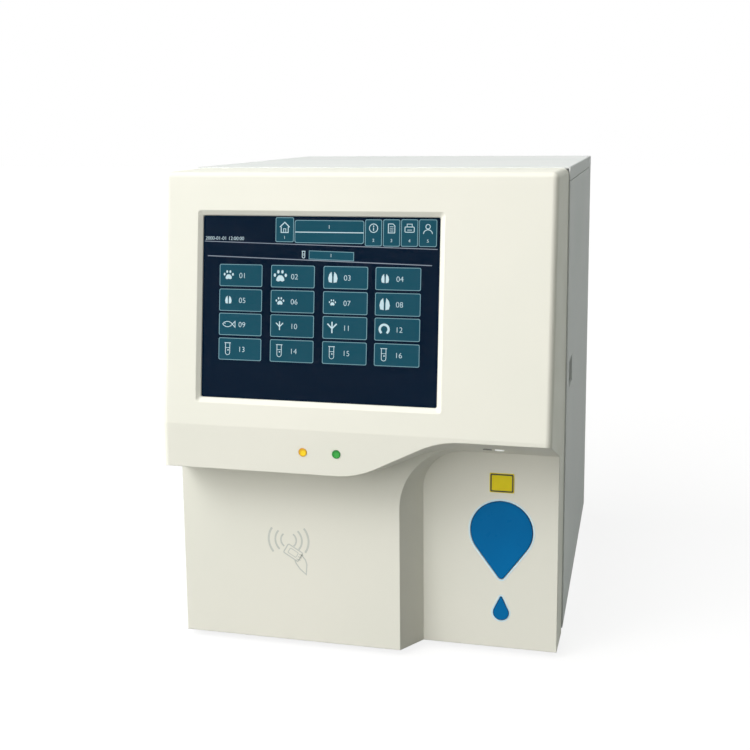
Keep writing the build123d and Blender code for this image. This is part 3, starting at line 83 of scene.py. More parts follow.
class Finish:
    """A procedural material in object space, with short ways to add its nodes."""

    def __init__(self, name, **sockets):
        self.material = bpy.data.materials.new(name)
        self.material.use_nodes = True
        self.tree = self.material.node_tree
        self.tree.nodes.clear()
        self.shader = self.node("ShaderNodeBsdfPrincipled", {
            key.replace("_", " "): value for key, value in sockets.items()})
        self.node("ShaderNodeOutputMaterial", {"Surface": self.shader.outputs["BSDF"]})
        self.place = self.node("ShaderNodeTexCoord").outputs["Object"]
        self.normal = None
        finishes[name] = self

    def node(self, kind, inputs=None, **settings):
        """Node of this material."""
        return add_node(self.tree, kind, inputs, **settings)

    def feed(self, socket, name):
        """Link a socket to an input of the shader."""
        self.tree.links.new(socket, self.shader.inputs[name])

    def math(self, operation, first, second=0.0):
        """Result of an operation on numbers."""
        return self.node("ShaderNodeMath", {0: first, 1: second}, operation=operation).outputs[0]

    def vector(self, operation, first, second=(0.0, 0.0, 0.0)):
        """Outputs of an operation on vectors."""
        return self.node(
            "ShaderNodeVectorMath", {0: first, 1: second}, operation=operation).outputs

    def axis(self, name):
        """One coordinate of the place on the object."""
        return self.node("ShaderNodeSeparateXYZ", {0: self.place}).outputs[name]

    def stretched(self, x, y, z):
        """Place on the object, scaled along each axis."""
        made = self.node("ShaderNodeMapping", {"Vector": self.place, "Scale": (x, y, z)})
        return made.outputs["Vector"]

    def noise(self, scale, detail=3.0, rough=0.5, place=None):
        """Soft random drift from 0 to 1."""
        made = self.node("ShaderNodeTexNoise", {
            "Vector": place or self.place, "Scale": scale, "Detail": detail, "Roughness": rough})
        return made.outputs["Fac"]

    def cells(self, scale, output="Distance"):
        """Random cells: the distance from their middles, or a colour for each."""
        made = self.node("ShaderNodeTexVoronoi", {"Vector": self.place, "Scale": scale})
        return made.outputs[output]

    def waves(self, scale, direction, distortion, detail):
        """Bands along an axis, from 0 to 1."""
        return self.node("ShaderNodeTexWave", {
            "Vector": self.place, "Scale": scale, "Distortion": distortion, "Detail": detail,
        }, bands_direction=direction).outputs["Fac"]

    def ranged(self, value, low, high, start=0.3, end=0.7):
        """Value moved from the range start to end into the range low to high."""
        made = self.node("ShaderNodeMapRange", {
            "Value": value, "From Min": start, "From Max": end, "To Min": low, "To Max": high})
        return made.outputs["Result"]

    def mixed(self, share, first, second):
        """Colour between two colours."""
        made = self.node("ShaderNodeMix", {0: share, 6: first, 7: second},
                         data_type="RGBA", clamp_factor=True)
        return made.outputs[2]

    def tracks(self, scale, line, width, height):
        """Colour of raised copper lines under the green lacquer of a circuit board."""
        made = self.node("ShaderNodeTexBrick", {
            "Vector": self.stretched(scale, scale, scale), "Color1": tone(24, 92, 52),
            "Color2": tone(18, 78, 42), "Mortar": line, "Scale": 1.0, "Mortar Size": 0.03,
            "Brick Width": width, "Row Height": height})
        self.bump(made.outputs["Fac"], 0.00004, 0.6)
        return made.outputs["Color"]

    def color(self, socket):
        """Colour of the surface."""
        self.feed(socket, "Base Color")

    def rough(self, low, high, scale, detail=3.0, place=None):
        """Roughness that drifts between two values."""
        self.feed(self.ranged(self.noise(scale, detail, place=place), low, high), "Roughness")

    def clouds(self, first, second, scale, detail=2.0, place=None):
        """Colour that drifts between two colours."""
        share = self.ranged(self.noise(scale, detail, place=place), 0.0, 1.0)
        self.color(self.mixed(share, first, second))

    def round_normal(self, radius):
        """Normal that catches the light as if the edges were rounded."""
        return self.node("ShaderNodeBevel", {"Radius": radius}, samples=6).outputs["Normal"]

    def near_edge(self, radius):
        """0 on open faces, rising to 1 at edges within a radius."""
        sharp, flat = 0.9, 0.998
        true_normal = self.node("ShaderNodeNewGeometry").outputs["Normal"]
        alike = self.vector("DOT_PRODUCT", self.round_normal(radius), true_normal)["Value"]
        return self.ranged(alike, 1.0, 0.0, sharp, flat)

    def bump(self, height, distance, strength=1.0):
        """Relief on top of the relief so far."""
        inputs = {"Height": height, "Distance": distance, "Strength": strength}
        if self.normal is not None:
            inputs["Normal"] = self.normal
        self.normal = self.node("ShaderNodeBump", inputs).outputs["Normal"]
        self.feed(self.normal, "Normal")


def moulded(name, light, dark, rough, depth=0.00003, **sockets):
    """Moulded plastic: a fine spark-eroded grain, slow clouds of colour and gloss."""
    made = Finish(name, **sockets)
    made.normal = made.round_normal(0.001)
    made.clouds(light, dark, 9.0)
    made.rough(rough - 0.06, rough + 0.07, 60.0)
    grain, swell = made.noise(1900.0, 2.0, 0.6), made.noise(14.0, 1.0)
    made.bump(grain, depth, 0.6)
    made.bump(swell, 0.0006, 0.12)


def machined(name, light, dark, rough, lines):
    """Bare or plated metal with fine lines, drawn out where their scale is smallest."""
    made = Finish(name, Metallic=1.0)
    along = made.stretched(*lines)
    made.clouds(light, dark, 1.0, 3.0, along)
    made.rough(rough - 0.08, rough + 0.12, 1.0, 4.0, along)
    made.bump(made.noise(1.0, 2.0, 0.6, along), 0.00001, 0.5)


def printed(name, light, dark, scale, rough, gloss_scale, **sockets):
    """Printing ink, a little uneven in colour and gloss."""
    made = Finish(name, **sockets)
    made.clouds(light, dark, scale)
    made.rough(*rough, gloss_scale)


def lit(name, color):
    """Lit area of the display: a slow drift of brightness and the fine grid of its pixels."""
    pitch, filled, dimming = 0.264 * MM, 0.86, 0.02
    made = Finish(name, Base_Color=(0.004, 0.004, 0.005, 1.0), Specular_IOR_Level=0.0,
                  Emission_Strength=1.0)
    gap_x, gap_z = (
        made.math("GREATER_THAN", made.math("FRACT", made.math(
            "MULTIPLY", made.axis(axis), 1 / pitch)), filled)
        for axis in "XZ")
    dimmed = made.math("MULTIPLY", made.math("MAXIMUM", gap_x, gap_z), dimming)
    drift = made.ranged(made.noise(9.0, 1.0), 0.94, 1.06)
    level = made.math("MULTIPLY", drift, made.math("SUBTRACT", 1.0, dimmed))
    shade = made.node(
        "ShaderNodeVectorMath", {0: color[:3], "Scale": level}, operation="SCALE")
    made.feed(shade.outputs[0], "Emission Color")


moulded("cover_white", tone(244, 243, 231), tone(241, 241, 229), 0.5, Specular_IOR_Level=0.07)
# The white bush glows a little though it is no lamp: painted light that lifts it above the shade
# round it.
moulded("white_bush", tone(240, 240, 236), tone(234, 234, 229), 0.35,
        Emission_Color=tone(240, 244, 240), Emission_Strength=0.4)
moulded("fitting_white", tone(226, 226, 220), tone(219, 218, 210), 0.36)
moulded("black_plastic", tone(34, 34, 36), tone(28, 28, 30), 0.48)
moulded("magnet_black", tone(40, 39, 38), tone(30, 30, 30), 0.6)
moulded("rocker_black", tone(24, 24, 25), tone(20, 20, 21), 0.24, depth=0.00001)
moulded("amber_plastic", tone(118, 122, 128), tone(104, 109, 116), 0.22)

machined("steel_bright", tone(204, 204, 205), tone(182, 183, 185), 0.24, (1400.0, 90.0, 1400.0))
machined("aluminium_block", tone(206, 208, 210), tone(190, 192, 196), 0.38,
         (60.0, 1100.0, 1100.0))
machined("contact_gold", tone(214, 178, 96), tone(198, 160, 82), 0.26, (900.0, 90.0, 900.0))

printed("printed_grey", tone(212, 215, 206), tone(205, 209, 200), 90.0, (0.44, 0.58), 700.0)
printed("printed_black", tone(36, 34, 20), tone(26, 24, 12), 200.0, (0.42, 0.56), 700.0)
printed("printed_rear", tone(66, 68, 72), tone(54, 56, 60), 200.0, (0.42, 0.56), 700.0)
printed("printed_white", tone(230, 232, 232), tone(218, 220, 220), 200.0, (0.42, 0.56), 700.0)
printed("printed_pale", tone(226, 248, 255), tone(220, 244, 252), 120.0, (0.34, 0.46), 500.0,
        Specular_IOR_Level=0.3)

lit("display_dark", tone(3, 22, 41))
lit("tile", tone(26, 80, 96))
lit("tile_edge", tone(128, 170, 180))
lit("mark_light", tone(206, 230, 236))
lit("rule_grey", tone(150, 160, 172))

paint = Finish("shell_paint", Specular_IOR_Level=0.1)
paint.normal = paint.round_normal(0.0006)
paint.clouds(tone(231, 233, 232), tone(226, 230, 228), 7.0)
paint.rough(0.52, 0.64, 90.0)
paint.bump(paint.noise(620.0, 1.0), 0.00006, 0.5)

blue = Finish("blue_key", Specular_IOR_Level=0.1)
blue_clouds = blue.mixed(
    blue.ranged(blue.noise(22.0, 2.0), 0.0, 1.0), tone(2, 114, 177), tone(1, 107, 168))
# The key is painted a darker blue near its edges: painted shade of the gap round the key.
blue.color(blue.mixed(blue.near_edge(0.0016), blue_clouds, tone(8, 64, 94)))
blue.rough(0.26, 0.38, 120.0)
blue.bump(blue.noise(900.0, 2.0), 0.00001, 0.4)

yellow = Finish("yellow_plate", Specular_IOR_Level=0.2)
yellow.clouds(tone(246, 228, 44), tone(238, 218, 36), 60.0)
yellow.rough(0.28, 0.4, 300.0)
yellow.bump(yellow.noise(1400.0, 2.0), 0.00001, 0.4)

# Lamp lenses: the lit lamp's own glow, with a painted highlight round a core a little off the
# middle and painted shade of the hole it sits in, dimmer towards the rim
core_offset = Vector((0.6, 0, -0.5)) * MM
core_radius, rim_radius, uneven = 0.0016, 0.0042, 0.0004
for lens_name, lamp_name, bright, dim in (
    ("yellow_lens", "lamp_yellow", tone(250, 214, 40), tone(196, 132, 22)),
    ("green_lens", "lamp_green", tone(62, 168, 72), tone(24, 112, 44)),
):
    lens = Finish(lens_name, Roughness=0.2, Specular_IOR_Level=0.3, Emission_Strength=0.14)
    core = middle_of(lamp_name) + core_offset
    away = lens.vector("SUBTRACT", lens.place, (core.x, 0, core.z))[0]
    across = lens.vector("MULTIPLY", away, (1.0, 0.0, 1.0))[0]
    reach = lens.vector("LENGTH", across)["Value"]
    spread = lens.math("ADD", reach, lens.ranged(lens.noise(900.0), -uneven, uneven))
    glow_and_painted_light = lens.mixed(lens.ranged(spread, 0.0, 1.0, core_radius, rim_radius), bright, dim)
    lens.color(glow_and_painted_light)
    lens.feed(glow_and_painted_light, "Emission Color")
    lens.bump(lens.cells(1500.0), 0.00003, 0.4)

smoked = Finish("smoked_lens", Roughness=0.2, Coat_Weight=0.4)
smoked.clouds(tone(60, 52, 62), tone(44, 40, 50), 300.0)
smoked.bump(smoked.noise(800.0), 0.00001, 0.3)

zinc = Finish("zinc_sheet", Metallic=1.0)
zinc.color(zinc.mixed(zinc.cells(170.0, "Color"), tone(200, 202, 203), tone(176, 179, 182)))
zinc.feed(zinc.ranged(zinc.cells(170.0, "Color"), 0.3, 0.5, 0.0, 1.0), "Roughness")
zinc.bump(zinc.noise(900.0, 2.0), 0.00001, 0.4)

thread = Finish("threaded_steel", Metallic=1.0)
turns = thread.waves(160.0, "Z", 0.3, 1.0)
# Darker in the roots of the thread and lighter on its crests: painted shade.
thread.color(thread.mixed(turns, tone(120, 120, 122), tone(212, 213, 214)))
thread.rough(0.2, 0.36, 400.0)
thread.bump(turns, 0.0003, 0.8)

belt = Finish("belt_black")
teeth = belt.waves(160.0, "Y", 0.0, 2.0)
# Darker between the teeth and lighter on them: painted shade.
belt.color(belt.mixed(teeth, tone(20, 20, 20), tone(44, 44, 45)))
belt.rough(0.58, 0.74, 500.0)
belt.bump(teeth, 0.0005, 0.7)

rubber = Finish("foot_rubber")
rubber.clouds(tone(42, 42, 41), tone(30, 30, 30), 70.0)
rubber.rough(0.7, 0.86, 260.0)
rubber.bump(rubber.noise(1300.0, 3.0), 0.00008, 0.6)

hose = Finish("tube_clear", Subsurface_Weight=0.2)
hose.clouds(tone(226, 222, 205), tone(212, 206, 184), 150.0)
hose.rough(0.34, 0.48, 400.0)
hose.bump(hose.noise(700.0), 0.00003, 0.4)

clear = Finish("clear_plastic", Base_Color=tone(226, 236, 238), Transmission_Weight=1.0,
               IOR=1.45, Specular_IOR_Level=0.5)
clear.rough(0.05, 0.08, 25.0)
clear.bump(clear.noise(30.0, 1.0), 0.00005, 0.05)

# The glass bends no light, so that the picture behind it stays clean.
glass = Finish("screen_glass", Roughness=0.0, Transmission_Weight=1.0, IOR=1.0)
glass.clouds(tone(253, 254, 254), tone(248, 250, 251), 12.0)

board = Finish("circuit_board")
is_pad = board.math("LESS_THAN", board.cells(420.0), 0.16)
board_lines = board.tracks(160.0, tone(58, 128, 74), 0.9, 0.35)
board.color(board.mixed(is_pad, board_lines, tone(196, 184, 140)))
board.rough(0.32, 0.5, 200.0)

chips = Finish("main_board")
chip_height = 3.9
chip_foot = corners_of("main_board")[1].z - chip_height * MM
is_chip = chips.math("GREATER_THAN", chips.axis("Z"), chip_foot)
chip_lines = chips.tracks(140.0, tone(62, 132, 78), 1.1, 0.3)
chips.color(chips.mixed(is_chip, chip_lines, tone(34, 34, 36)))
chips.rough(0.34, 0.5, 200.0)

plating = {
    "cover_white": ["front_cover"],
    "screen_glass": ["touch_glass"],
    "display_dark": ["display_panel"],
    "zinc_sheet": [
        "display_bracket", "key_bracket", "front_frame", "base_plate", "hinge_brackets",
        "fluidics_plate", "power_supply"],
    "yellow_lens": ["lamp_yellow"],
    "green_lens": ["lamp_green"],
    "circuit_board": ["lamp_board", "card_reader"],
    "main_board": ["main_board"],
    "yellow_plate": ["notice_plate"],
    "blue_key": ["aspirate_key", "drop_lens"],
    "white_bush": ["probe_bush"],
    "smoked_lens": ["probe_window"],
    "steel_bright": [
        "cover_screws", "data_ports", "guide_rods", "sample_probe", "pump_rotor", "pump_motor"],
    "threaded_steel": ["lift_screw", "syringe_screw"],
    "foot_rubber": ["rubber_feet"],
    "shell_paint": ["left_side_panel", "service_door", "top_cover", "rear_panel"],
    "magnet_black": ["door_magnet"],
    "black_plastic": [
        "fan_frame", "fan_rotor", "mains_module", "lift_motor", "carriage_motor",
        "syringe_motor", "solenoid_valves"],
    "rocker_black": ["power_rocker"],
    "fitting_white": ["fluid_ports", "syringe_plunger", "pump_head"],
    "aluminium_block": [
        "rod_blocks", "probe_carriage", "probe_arm", "drive_pulley", "idler_pulley",
        "bath_bracket", "syringe_frame"],
    "belt_black": ["drive_belt"],
    "clear_plastic": ["counting_baths", "syringe_barrel", "valve_manifold"],
    "tube_clear": ["pump_tube"],
    "amber_plastic": ["vacuum_chamber"],
}
for finish_name, node_names in plating.items():
    for node_name in node_names:
        node_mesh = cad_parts[node_name].data
        node_mesh.materials.clear()
        node_mesh.materials.append(finishes[finish_name].material)


# Planes, outlines and pieces: outlines are in millimetres, and a plane gives them their place

def plane_at(origin, right, up):
    """Matrix that puts millimetres of a drawing on a plane of the object, in metres."""
    right, up = Vector(right).normalized(), Vector(up).normalized()
    columns = Matrix((right, up, right.cross(up))).transposed().to_4x4()
    return Matrix.Translation(Vector(origin)) @ columns @ Matrix.Scale(MM, 4)


def finished(name, points, faces, finish_name, body, smooth_below=None):
    """Piece of a finish, riding on a body, smooth over edges below an angle in degrees."""
    mesh = bpy.data.meshes.new(name)
    mesh.from_pydata(points, [], faces)
    mesh.materials.append(finishes[finish_name].material)
    if smooth_below:
        mesh.shade_smooth()
        mesh.set_sharp_from_angle(angle=math.radians(smooth_below))
    made = bpy.data.objects.new(name, mesh)
    bpy.context.scene.collection.objects.link(made)
    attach(made, body)
    return made


class Drawing:
    """Thin raised marks gathered on one plane, between two levels above it."""

    def __init__(self, name, plane, low, high):
        self.name, self.plane, self.low, self.high = name, plane, low, high
        self.points, self.faces = [], []

    def band(self, outer, inner, closed=True):
        """Strip between two outlines of the same number of points."""
        base, count = len(self.points), len(outer)
        for level in (self.low, self.high):
            for x, y in list(outer) + list(inner):
                self.points.append((x, y, level))
        low_out, low_in, high_out, high_in = (base + k * count for k in range(4))
        for i in range(count if closed else count - 1):
            j = (i + 1) % count
            self.faces.append((high_out + i, high_out + j, high_in + j, high_in + i))
            self.faces.append((low_out + j, low_out + i, low_in + i, low_in + j))
            self.faces.append((low_out + i, low_out + j, high_out + j, high_out + i))
            self.faces.append((low_in + j, low_in + i, high_in + i, high_in + j))
        if not closed:
            for i, flip in ((0, False), (count - 1, True)):
                end = (low_out + i, high_out + i, high_in + i, low_in + i)
                self.faces.append(end[::-1] if flip else end)

    def patch(self, outline):
        """Filled outline."""
        base, count = len(self.points), len(outline)
        for level in (self.low, self.high):
            self.points += [(x, y, level) for x, y in outline]
        self.faces.append(tuple(base + count + i for i in range(count)))
        self.faces.append(tuple(base + i for i in reversed(range(count))))
        for i in range(count):
            j = (i + 1) % count
            self.faces.append((base + i, base + j, base + count + j, base + count + i))

    def line(self, path, width, closed=False):
        """Line of one width along a path."""
        tiny, sharpest = 1e-6, 0.4
        left, right, count = [], [], len(path)
        for i, point in enumerate(path):
            before = Vector(path[(i - 1) % count] if closed or i else path[0])
            after = Vector(path[(i + 1) % count] if closed or i < count - 1 else path[-1])
            here = Vector(point)
            first, second = here - before, after - here
            if first.length < tiny:
                first = second
            if second.length < tiny:
                second = first
            first, second = first.normalized(), second.normalized()
            middle = first + second
            middle = middle.normalized() if middle.length > tiny else first
            side = Vector((-middle.y, middle.x))
            reach = width / 2 / max(sharpest, abs(side.dot(Vector((-first.y, first.x)))))
            left.append(tuple(here + side * reach))
            right.append(tuple(here - side * reach))
        self.band(right, left, closed)

    def text(self, words, x, y, size, align="CENTER", slim=0.0):
        """Digits in the plain built-in face, slimmed by a share of their size."""
        curve = bpy.data.curves.new("digits", "FONT")
        curve.body, curve.size, curve.align_x = words, size, align
        curve.offset = -slim * size
        holder = bpy.data.objects.new("digits", curve)
        bpy.context.scene.collection.objects.link(holder)
        bpy.context.view_layer.update()
        flat = bpy.data.meshes.new_from_object(
            holder.evaluated_get(bpy.context.evaluated_depsgraph_get()))
        for polygon in flat.polygons:
            corners = [flat.vertices[i].co for i in polygon.vertices]
            self.patch([(x + c.x, y + c.y) for c in corners])
        bpy.data.objects.remove(holder)
        bpy.data.curves.remove(curve)
        bpy.data.meshes.remove(flat)

    def piece(self, finish_name, body, slot_name):
        """The finished piece, riding on a body."""
        points = [self.plane @ Vector(p) for p in self.points]
        return finished(self.name, points, self.faces, finish_name, body)


class Skin:
    """Closed surfaces through stacks of outlines, gathered in one piece."""

    def __init__(self, name):
        self.name = name
        self.points, self.faces = [], []

    def stack(self, plane, outlines, ring=False):
        """Surface through outlines of one number of points; a ring joins the last to the first."""
        base, count, layers = len(self.points), len(outlines[0]), len(outlines)
        self.points += [plane @ Vector(point) for outline in outlines for point in outline]
        for k in range(layers if ring else layers - 1):
            low, high = base + k * count, base + (k + 1) % layers * count
            for i in range(count):
                j = (i + 1) % count
                self.faces.append((low + i, low + j, high + j, high + i))
        if not ring:
            last = base + (layers - 1) * count
            self.faces.append(tuple(base + i for i in reversed(range(count))))
            self.faces.append(tuple(last + i for i in range(count)))

    def wire(self, plane, path, radius, across, ring=False, sides=10):
        """Round wire along a flat path, across being square to it."""
        path, across, count = [Vector(p) for p in path], Vector(across), len(path)
        outlines = []
        for i, point in enumerate(path):
            before = path[i - 1] if ring or i else point
            after = path[(i + 1) % count] if ring or i < count - 1 else point
            side = (after - before).normalized().cross(across)
            outlines.append([
                point + radius * (math.cos(a) * side - math.sin(a) * across)
                for a in (math.tau * k / sides for k in range(sides))])
        self.stack(plane, outlines, ring)

    def piece(self, finish_name, body, slot_name):
        """The finished piece, smooth but for its sharp edges, riding on a body."""
        return finished(self.name, self.points, self.faces, finish_name, body,
                        smooth_below=35.0)


def arc(x, y, radius, start, end, steps=16, squash=1.0):
    """Points along an arc, its angles in degrees."""
    angles = [math.radians(start + (end - start) * i / steps) for i in range(steps + 1)]
    return [(x + radius * math.cos(a), y + radius * squash * math.sin(a)) for a in angles]


def circle(x, y, radius, steps=20, squash=1.0):
    """Points round a circle, or round an ellipse where it is squashed."""
    return arc(x, y, radius, 0, 360, steps, squash)[:-1]


def rounded(low_x, low_y, high_x, high_y, radius):
    """Rectangle with rounded corners."""
    corners = (
        (high_x - radius, high_y - radius, 0), (low_x + radius, high_y - radius, 90),
        (low_x + radius, low_y + radius, 180), (high_x - radius, low_y + radius, 270))
    return [p for x, y, start in corners for p in arc(x, y, radius, start, start + 90, 5)]


def centred(half_width, half_height, radius):
    """Rectangle with rounded corners round the plane's middle."""
    return rounded(-half_width, -half_height, half_width, half_height, radius)


def moved(path, x, y, size=1.0):
    """Path scaled and moved."""
    return [(x + size * px, y + size * py) for px, py in path]


def turned(path, x, y, angle):
    """Path turned by an angle in degrees and moved."""
    c, s = math.cos(math.radians(angle)), math.sin(math.radians(angle))
    return [(x + (px * c - py * s), y + (px * s + py * c)) for px, py in path]


def level_at(outline, z):
    """Outline lifted to a level."""
    return [(x, y, z) for x, y in outline]


# Picture on the screen, between the display's face and the glass over it

screen_tilt = math.radians(7.1)
glass_depth, glass_thickness, display_depth = 3.0, 1.1, 4.4
inward = Vector((0, math.cos(screen_tilt), -math.sin(screen_tilt)))
face_depth = (display_depth - (glass_depth + glass_thickness / 2)) * MM
screen = plane_at(middle_of("touch_glass") + inward * face_depth,
                  (1, 0, 0), (0, math.sin(screen_tilt), math.cos(screen_tilt)))

tiles = Drawing("screen_tiles", screen, low=0.02, high=0.07)
edges = Drawing("screen_tile_edges", screen, low=0.02, high=0.1)
marks = Drawing("screen_marks", screen, low=0.07, high=0.13)
rules = Drawing("screen_rules", screen, low=0.02, high=0.1)


def tile(low_x, low_y, high_x, high_y, radius=1.4):
    """Tile with a light border."""
    edge = 0.55
    outer = rounded(low_x, low_y, high_x, high_y, radius)
    inner = rounded(low_x + edge, low_y + edge, high_x - edge, high_y - edge, radius - edge / 2)
    tiles.patch(inner)
    edges.band(outer, inner)


def paw(x, y, size):
    """Footprint of a pad and four toes."""
    pad = [(-2.5, -2.4), (-1.3, -3.1), (0, -2.6), (1.3, -3.1), (2.5, -2.4), (2.2, -0.9),
           (1.0, 0.5), (-1.0, 0.5), (-2.2, -0.9)]
    toes = [(-3.3, 0.6), (-1.25, 2.6), (1.25, 2.6), (3.3, 0.6)]
    marks.patch(moved(pad, x, y, size))
    for toe_x, toe_y in moved(toes, x, y, size):
        marks.patch(circle(toe_x, toe_y, 0.72 * size, 10, squash=1.45))


def cloven(x, y, size):
    """Footprint of two half hooves."""
    half = [(0.5, -3.2), (2.4, -2.8), (2.9, -0.6), (2.3, 1.8), (0.9, 3.4), (0.5, 0.4)]
    for side in (-1, 1):
        marks.patch(moved([(side * px, py) for px, py in half[::side]], x, y, size))


def round_hoof(x, y, size):
    """Footprint of one round hoof."""
    marks.line(arc(x, y, 3.0 * size, -55, 235, 20), 1.5 * size)


def feather(x, y, size):
    """Footprint of three toes and a heel."""
    root_y = y - 0.6 * size
    for angle, reach in ((45, 3.9), (90, 3.9), (135, 3.9), (270, 2.6)):
        end = turned([(reach * size, 0)], x, root_y, angle)[0]
        marks.line([(x, root_y), end], 0.75 * size)


def fin(x, y, size):
    """Fish outline with a tail and an eye."""
    upper = arc(x - 0.4 * size, y - 2.6 * size, 4.6 * size, 145, 35, 12)
    lower = arc(x - 0.4 * size, y + 2.6 * size, 4.6 * size, -35, -145, 12)
    tail = moved([(5.6, -2.2), (5.6, 2.2)], x, y, size)
    marks.line(upper + tail + lower, 0.55, closed=True)
    marks.patch(circle(x - 2.4 * size, y + 0.5 * size, 0.4 * size, 8))


def sample_tube(x, y, size):
    """Tube with a rim, a round end, a level line and a drop in it."""
    end = arc(x, y - 2.6 * size, 1.6 * size, 180, 360, 10)
    wall = moved([(-1.6, 4.0)], x, y, size) + end + moved([(1.6, 4.0)], x, y, size)
    marks.line(moved([(-2.3, 4.2), (2.3, 4.2)], x, y, size), 0.6)
    marks.line(wall, 0.5)
    marks.line(moved([(-1.5, 0.8), (1.5, 0.8)], x, y, size), 0.4)
    marks.patch(circle(x + 0.3 * size, y - 0.8 * size, 0.5 * size, 10))


def home(x, y):
    """House with a door."""
    marks.line(moved([(-4.4, 0), (0, 4.2), (4.4, 0)], x, y), 0.8)
    marks.line(moved([(-3.2, 0.4), (-3.2, -4.6), (3.2, -4.6), (3.2, 0.4)], x, y), 0.7)
    marks.line(moved([(-1.0, -4.4), (-1.0, -1.4), (1.0, -1.4), (1.0, -4.4)], x, y), 0.5)


def info(x, y):
    """Ring with a dot over a stroke."""
    marks.line(circle(x, y, 3.6, 24), 0.6, closed=True)
    marks.patch(circle(x, y + 1.7, 0.55, 10))
    marks.line([(x, y + 0.5), (x, y - 2.2)], 0.7)


def page(x, y):
    """Sheet with a cut corner and three lines."""
    sheet = [(-2.8, -3.8), (-2.8, 3.8), (1.2, 3.8), (2.8, 2.2), (2.8, -3.8)]
    marks.line(moved(sheet, x, y), 0.6, closed=True)
    for step in range(3):
        marks.line([(x - 1.6, y + 1.4 - 1.8 * step), (x + 1.6, y + 1.4 - 1.8 * step)], 0.45)


def printer(x, y):
    """Printer with a sheet in it."""
    marks.line(rounded(x - 4.0, y - 3.0, x + 4.0, y + 1.4, 0.8), 0.6, closed=True)
    marks.line(moved([(-2.2, 1.4), (-2.2, 3.8), (2.2, 3.8), (2.2, 1.4)], x, y), 0.5)
    marks.line([(x - 2.0, y - 1.2), (x + 2.0, y - 1.2)], 0.45)


def person(x, y):
    """Head and shoulders."""
    marks.line(circle(x, y + 1.8, 1.9, 18), 0.6, closed=True)
    marks.line(arc(x, y - 4.2, 3.8, 0, 180, 14, squash=0.9), 0.6)


# Grid of numbered tiles, placed from the middle of the screen
tile_width, tile_height = 39.4, 19.4
column_places = (-90.6, -43.1, 4.2, 50.2)
row_places = (37.6, 15.9, -5.4, -27.1)
sign_from_left, sign_scale = 8.4, 1.3
number_from_left, number_below_middle, number_size = 18.0, 2.4, 6.6
signs = (
    (paw, 0.9), (paw, 1.15), (cloven, 1.1), (cloven, 0.9),
    (cloven, 0.8), (paw, 0.75), (paw, 0.6), (cloven, 1.2),
    (fin, 0.9), (feather, 0.9), (feather, 1.15), (round_hoof, 1.0))
for row, row_high in enumerate(row_places):
    for column, column_low in enumerate(column_places):
        tile(column_low, row_high - tile_height, column_low + tile_width, row_high)
        number = row * len(column_places) + column
        sign_x, sign_y = column_low + sign_from_left, row_high - tile_height / 2
        if number < len(signs):
            draw, size = signs[number]
            draw(sign_x, sign_y, size * sign_scale)
        else:
            sample_tube(sign_x, sign_y, 1.25)
        marks.text("%02d" % (number + 1), column_low + number_from_left,
                   sign_y - number_below_middle, number_size, align="LEFT", slim=0.012)

# Header: five small tiles with signs and numbers, the status field, the clock and the sample
header_tiles = (
    (-39.7, 57.6, -23.2, 79.0), (40.3, 55.2, 55.0, 77.9), (56.0, 55.2, 70.7, 78.1),
    (71.6, 55.3, 86.2, 78.3), (87.0, 55.4, 102.4, 78.4))
header_places = [(low_x + high_x) / 2 for low_x, low_y, high_x, high_y in header_tiles]
header_sign_y, header_number_size = 70.5, 3.6
for corners in header_tiles:
    tile(*corners)
tile(-22.4, 57.0, 39.4, 76.8, 2.0)
marks.line([(-21.8, 66.4), (38.9, 66.4)], 0.75)
for draw, place in zip((home, info, page, printer, person), header_places):
    draw(place, header_sign_y)
for index, place in enumerate(header_places):
    marks.text(str(index + 1), place, 59.0 if index else 60.4, header_number_size)
marks.text("2000-01-01 12:00:00", -104.4, 58.7, 4.3, align="LEFT", slim=0.006)
marks.text("1", 10.6, 45.2, 4.2)
sample_tube(-14.0, 47.0, 0.7)
marks.text("1", 8.5, 69.6, 4.4)
rules.line([(-105.2, 57.4), (-40.4, 56.1), (103.2, 53.4)], 0.6)
rules.line([(-102.0, 44.6), (98.7, 39.7)], 0.7)
sample_field = [(-9.0, 43.4), (30.6, 42.4), (30.6, 49.6), (-9.0, 50.4)]
tiles.patch(sample_field)
edges.line(sample_field, 0.5, closed=True)

tiles.piece("tile", "housing", "display_dark")
edges.piece("tile_edge", "housing", "display_dark")
marks.piece("mark_light", "housing", "display_dark")
rules.piece("rule_grey", "housing", "display_dark")


# Prints on the front

def front_at(x, y, z):
    """Upright plane that faces the front, its middle at a place in metres."""
    return plane_at((x, y, z), (1, 0, 0), (0, 0, 1))


def drop(radius, reach, tip, grow, side):
    """Drop outline whose point looks down for a side of -1 and up for 1."""
    share = math.degrees(math.acos((radius - tip) / (reach - tip)))
    middle = 90 * side
    body = arc(0, 0, radius + grow, middle + share, middle + 360 - share, 60)
    return body + arc(0, side * (reach - tip), tip + grow, middle - share, middle + share, 10)


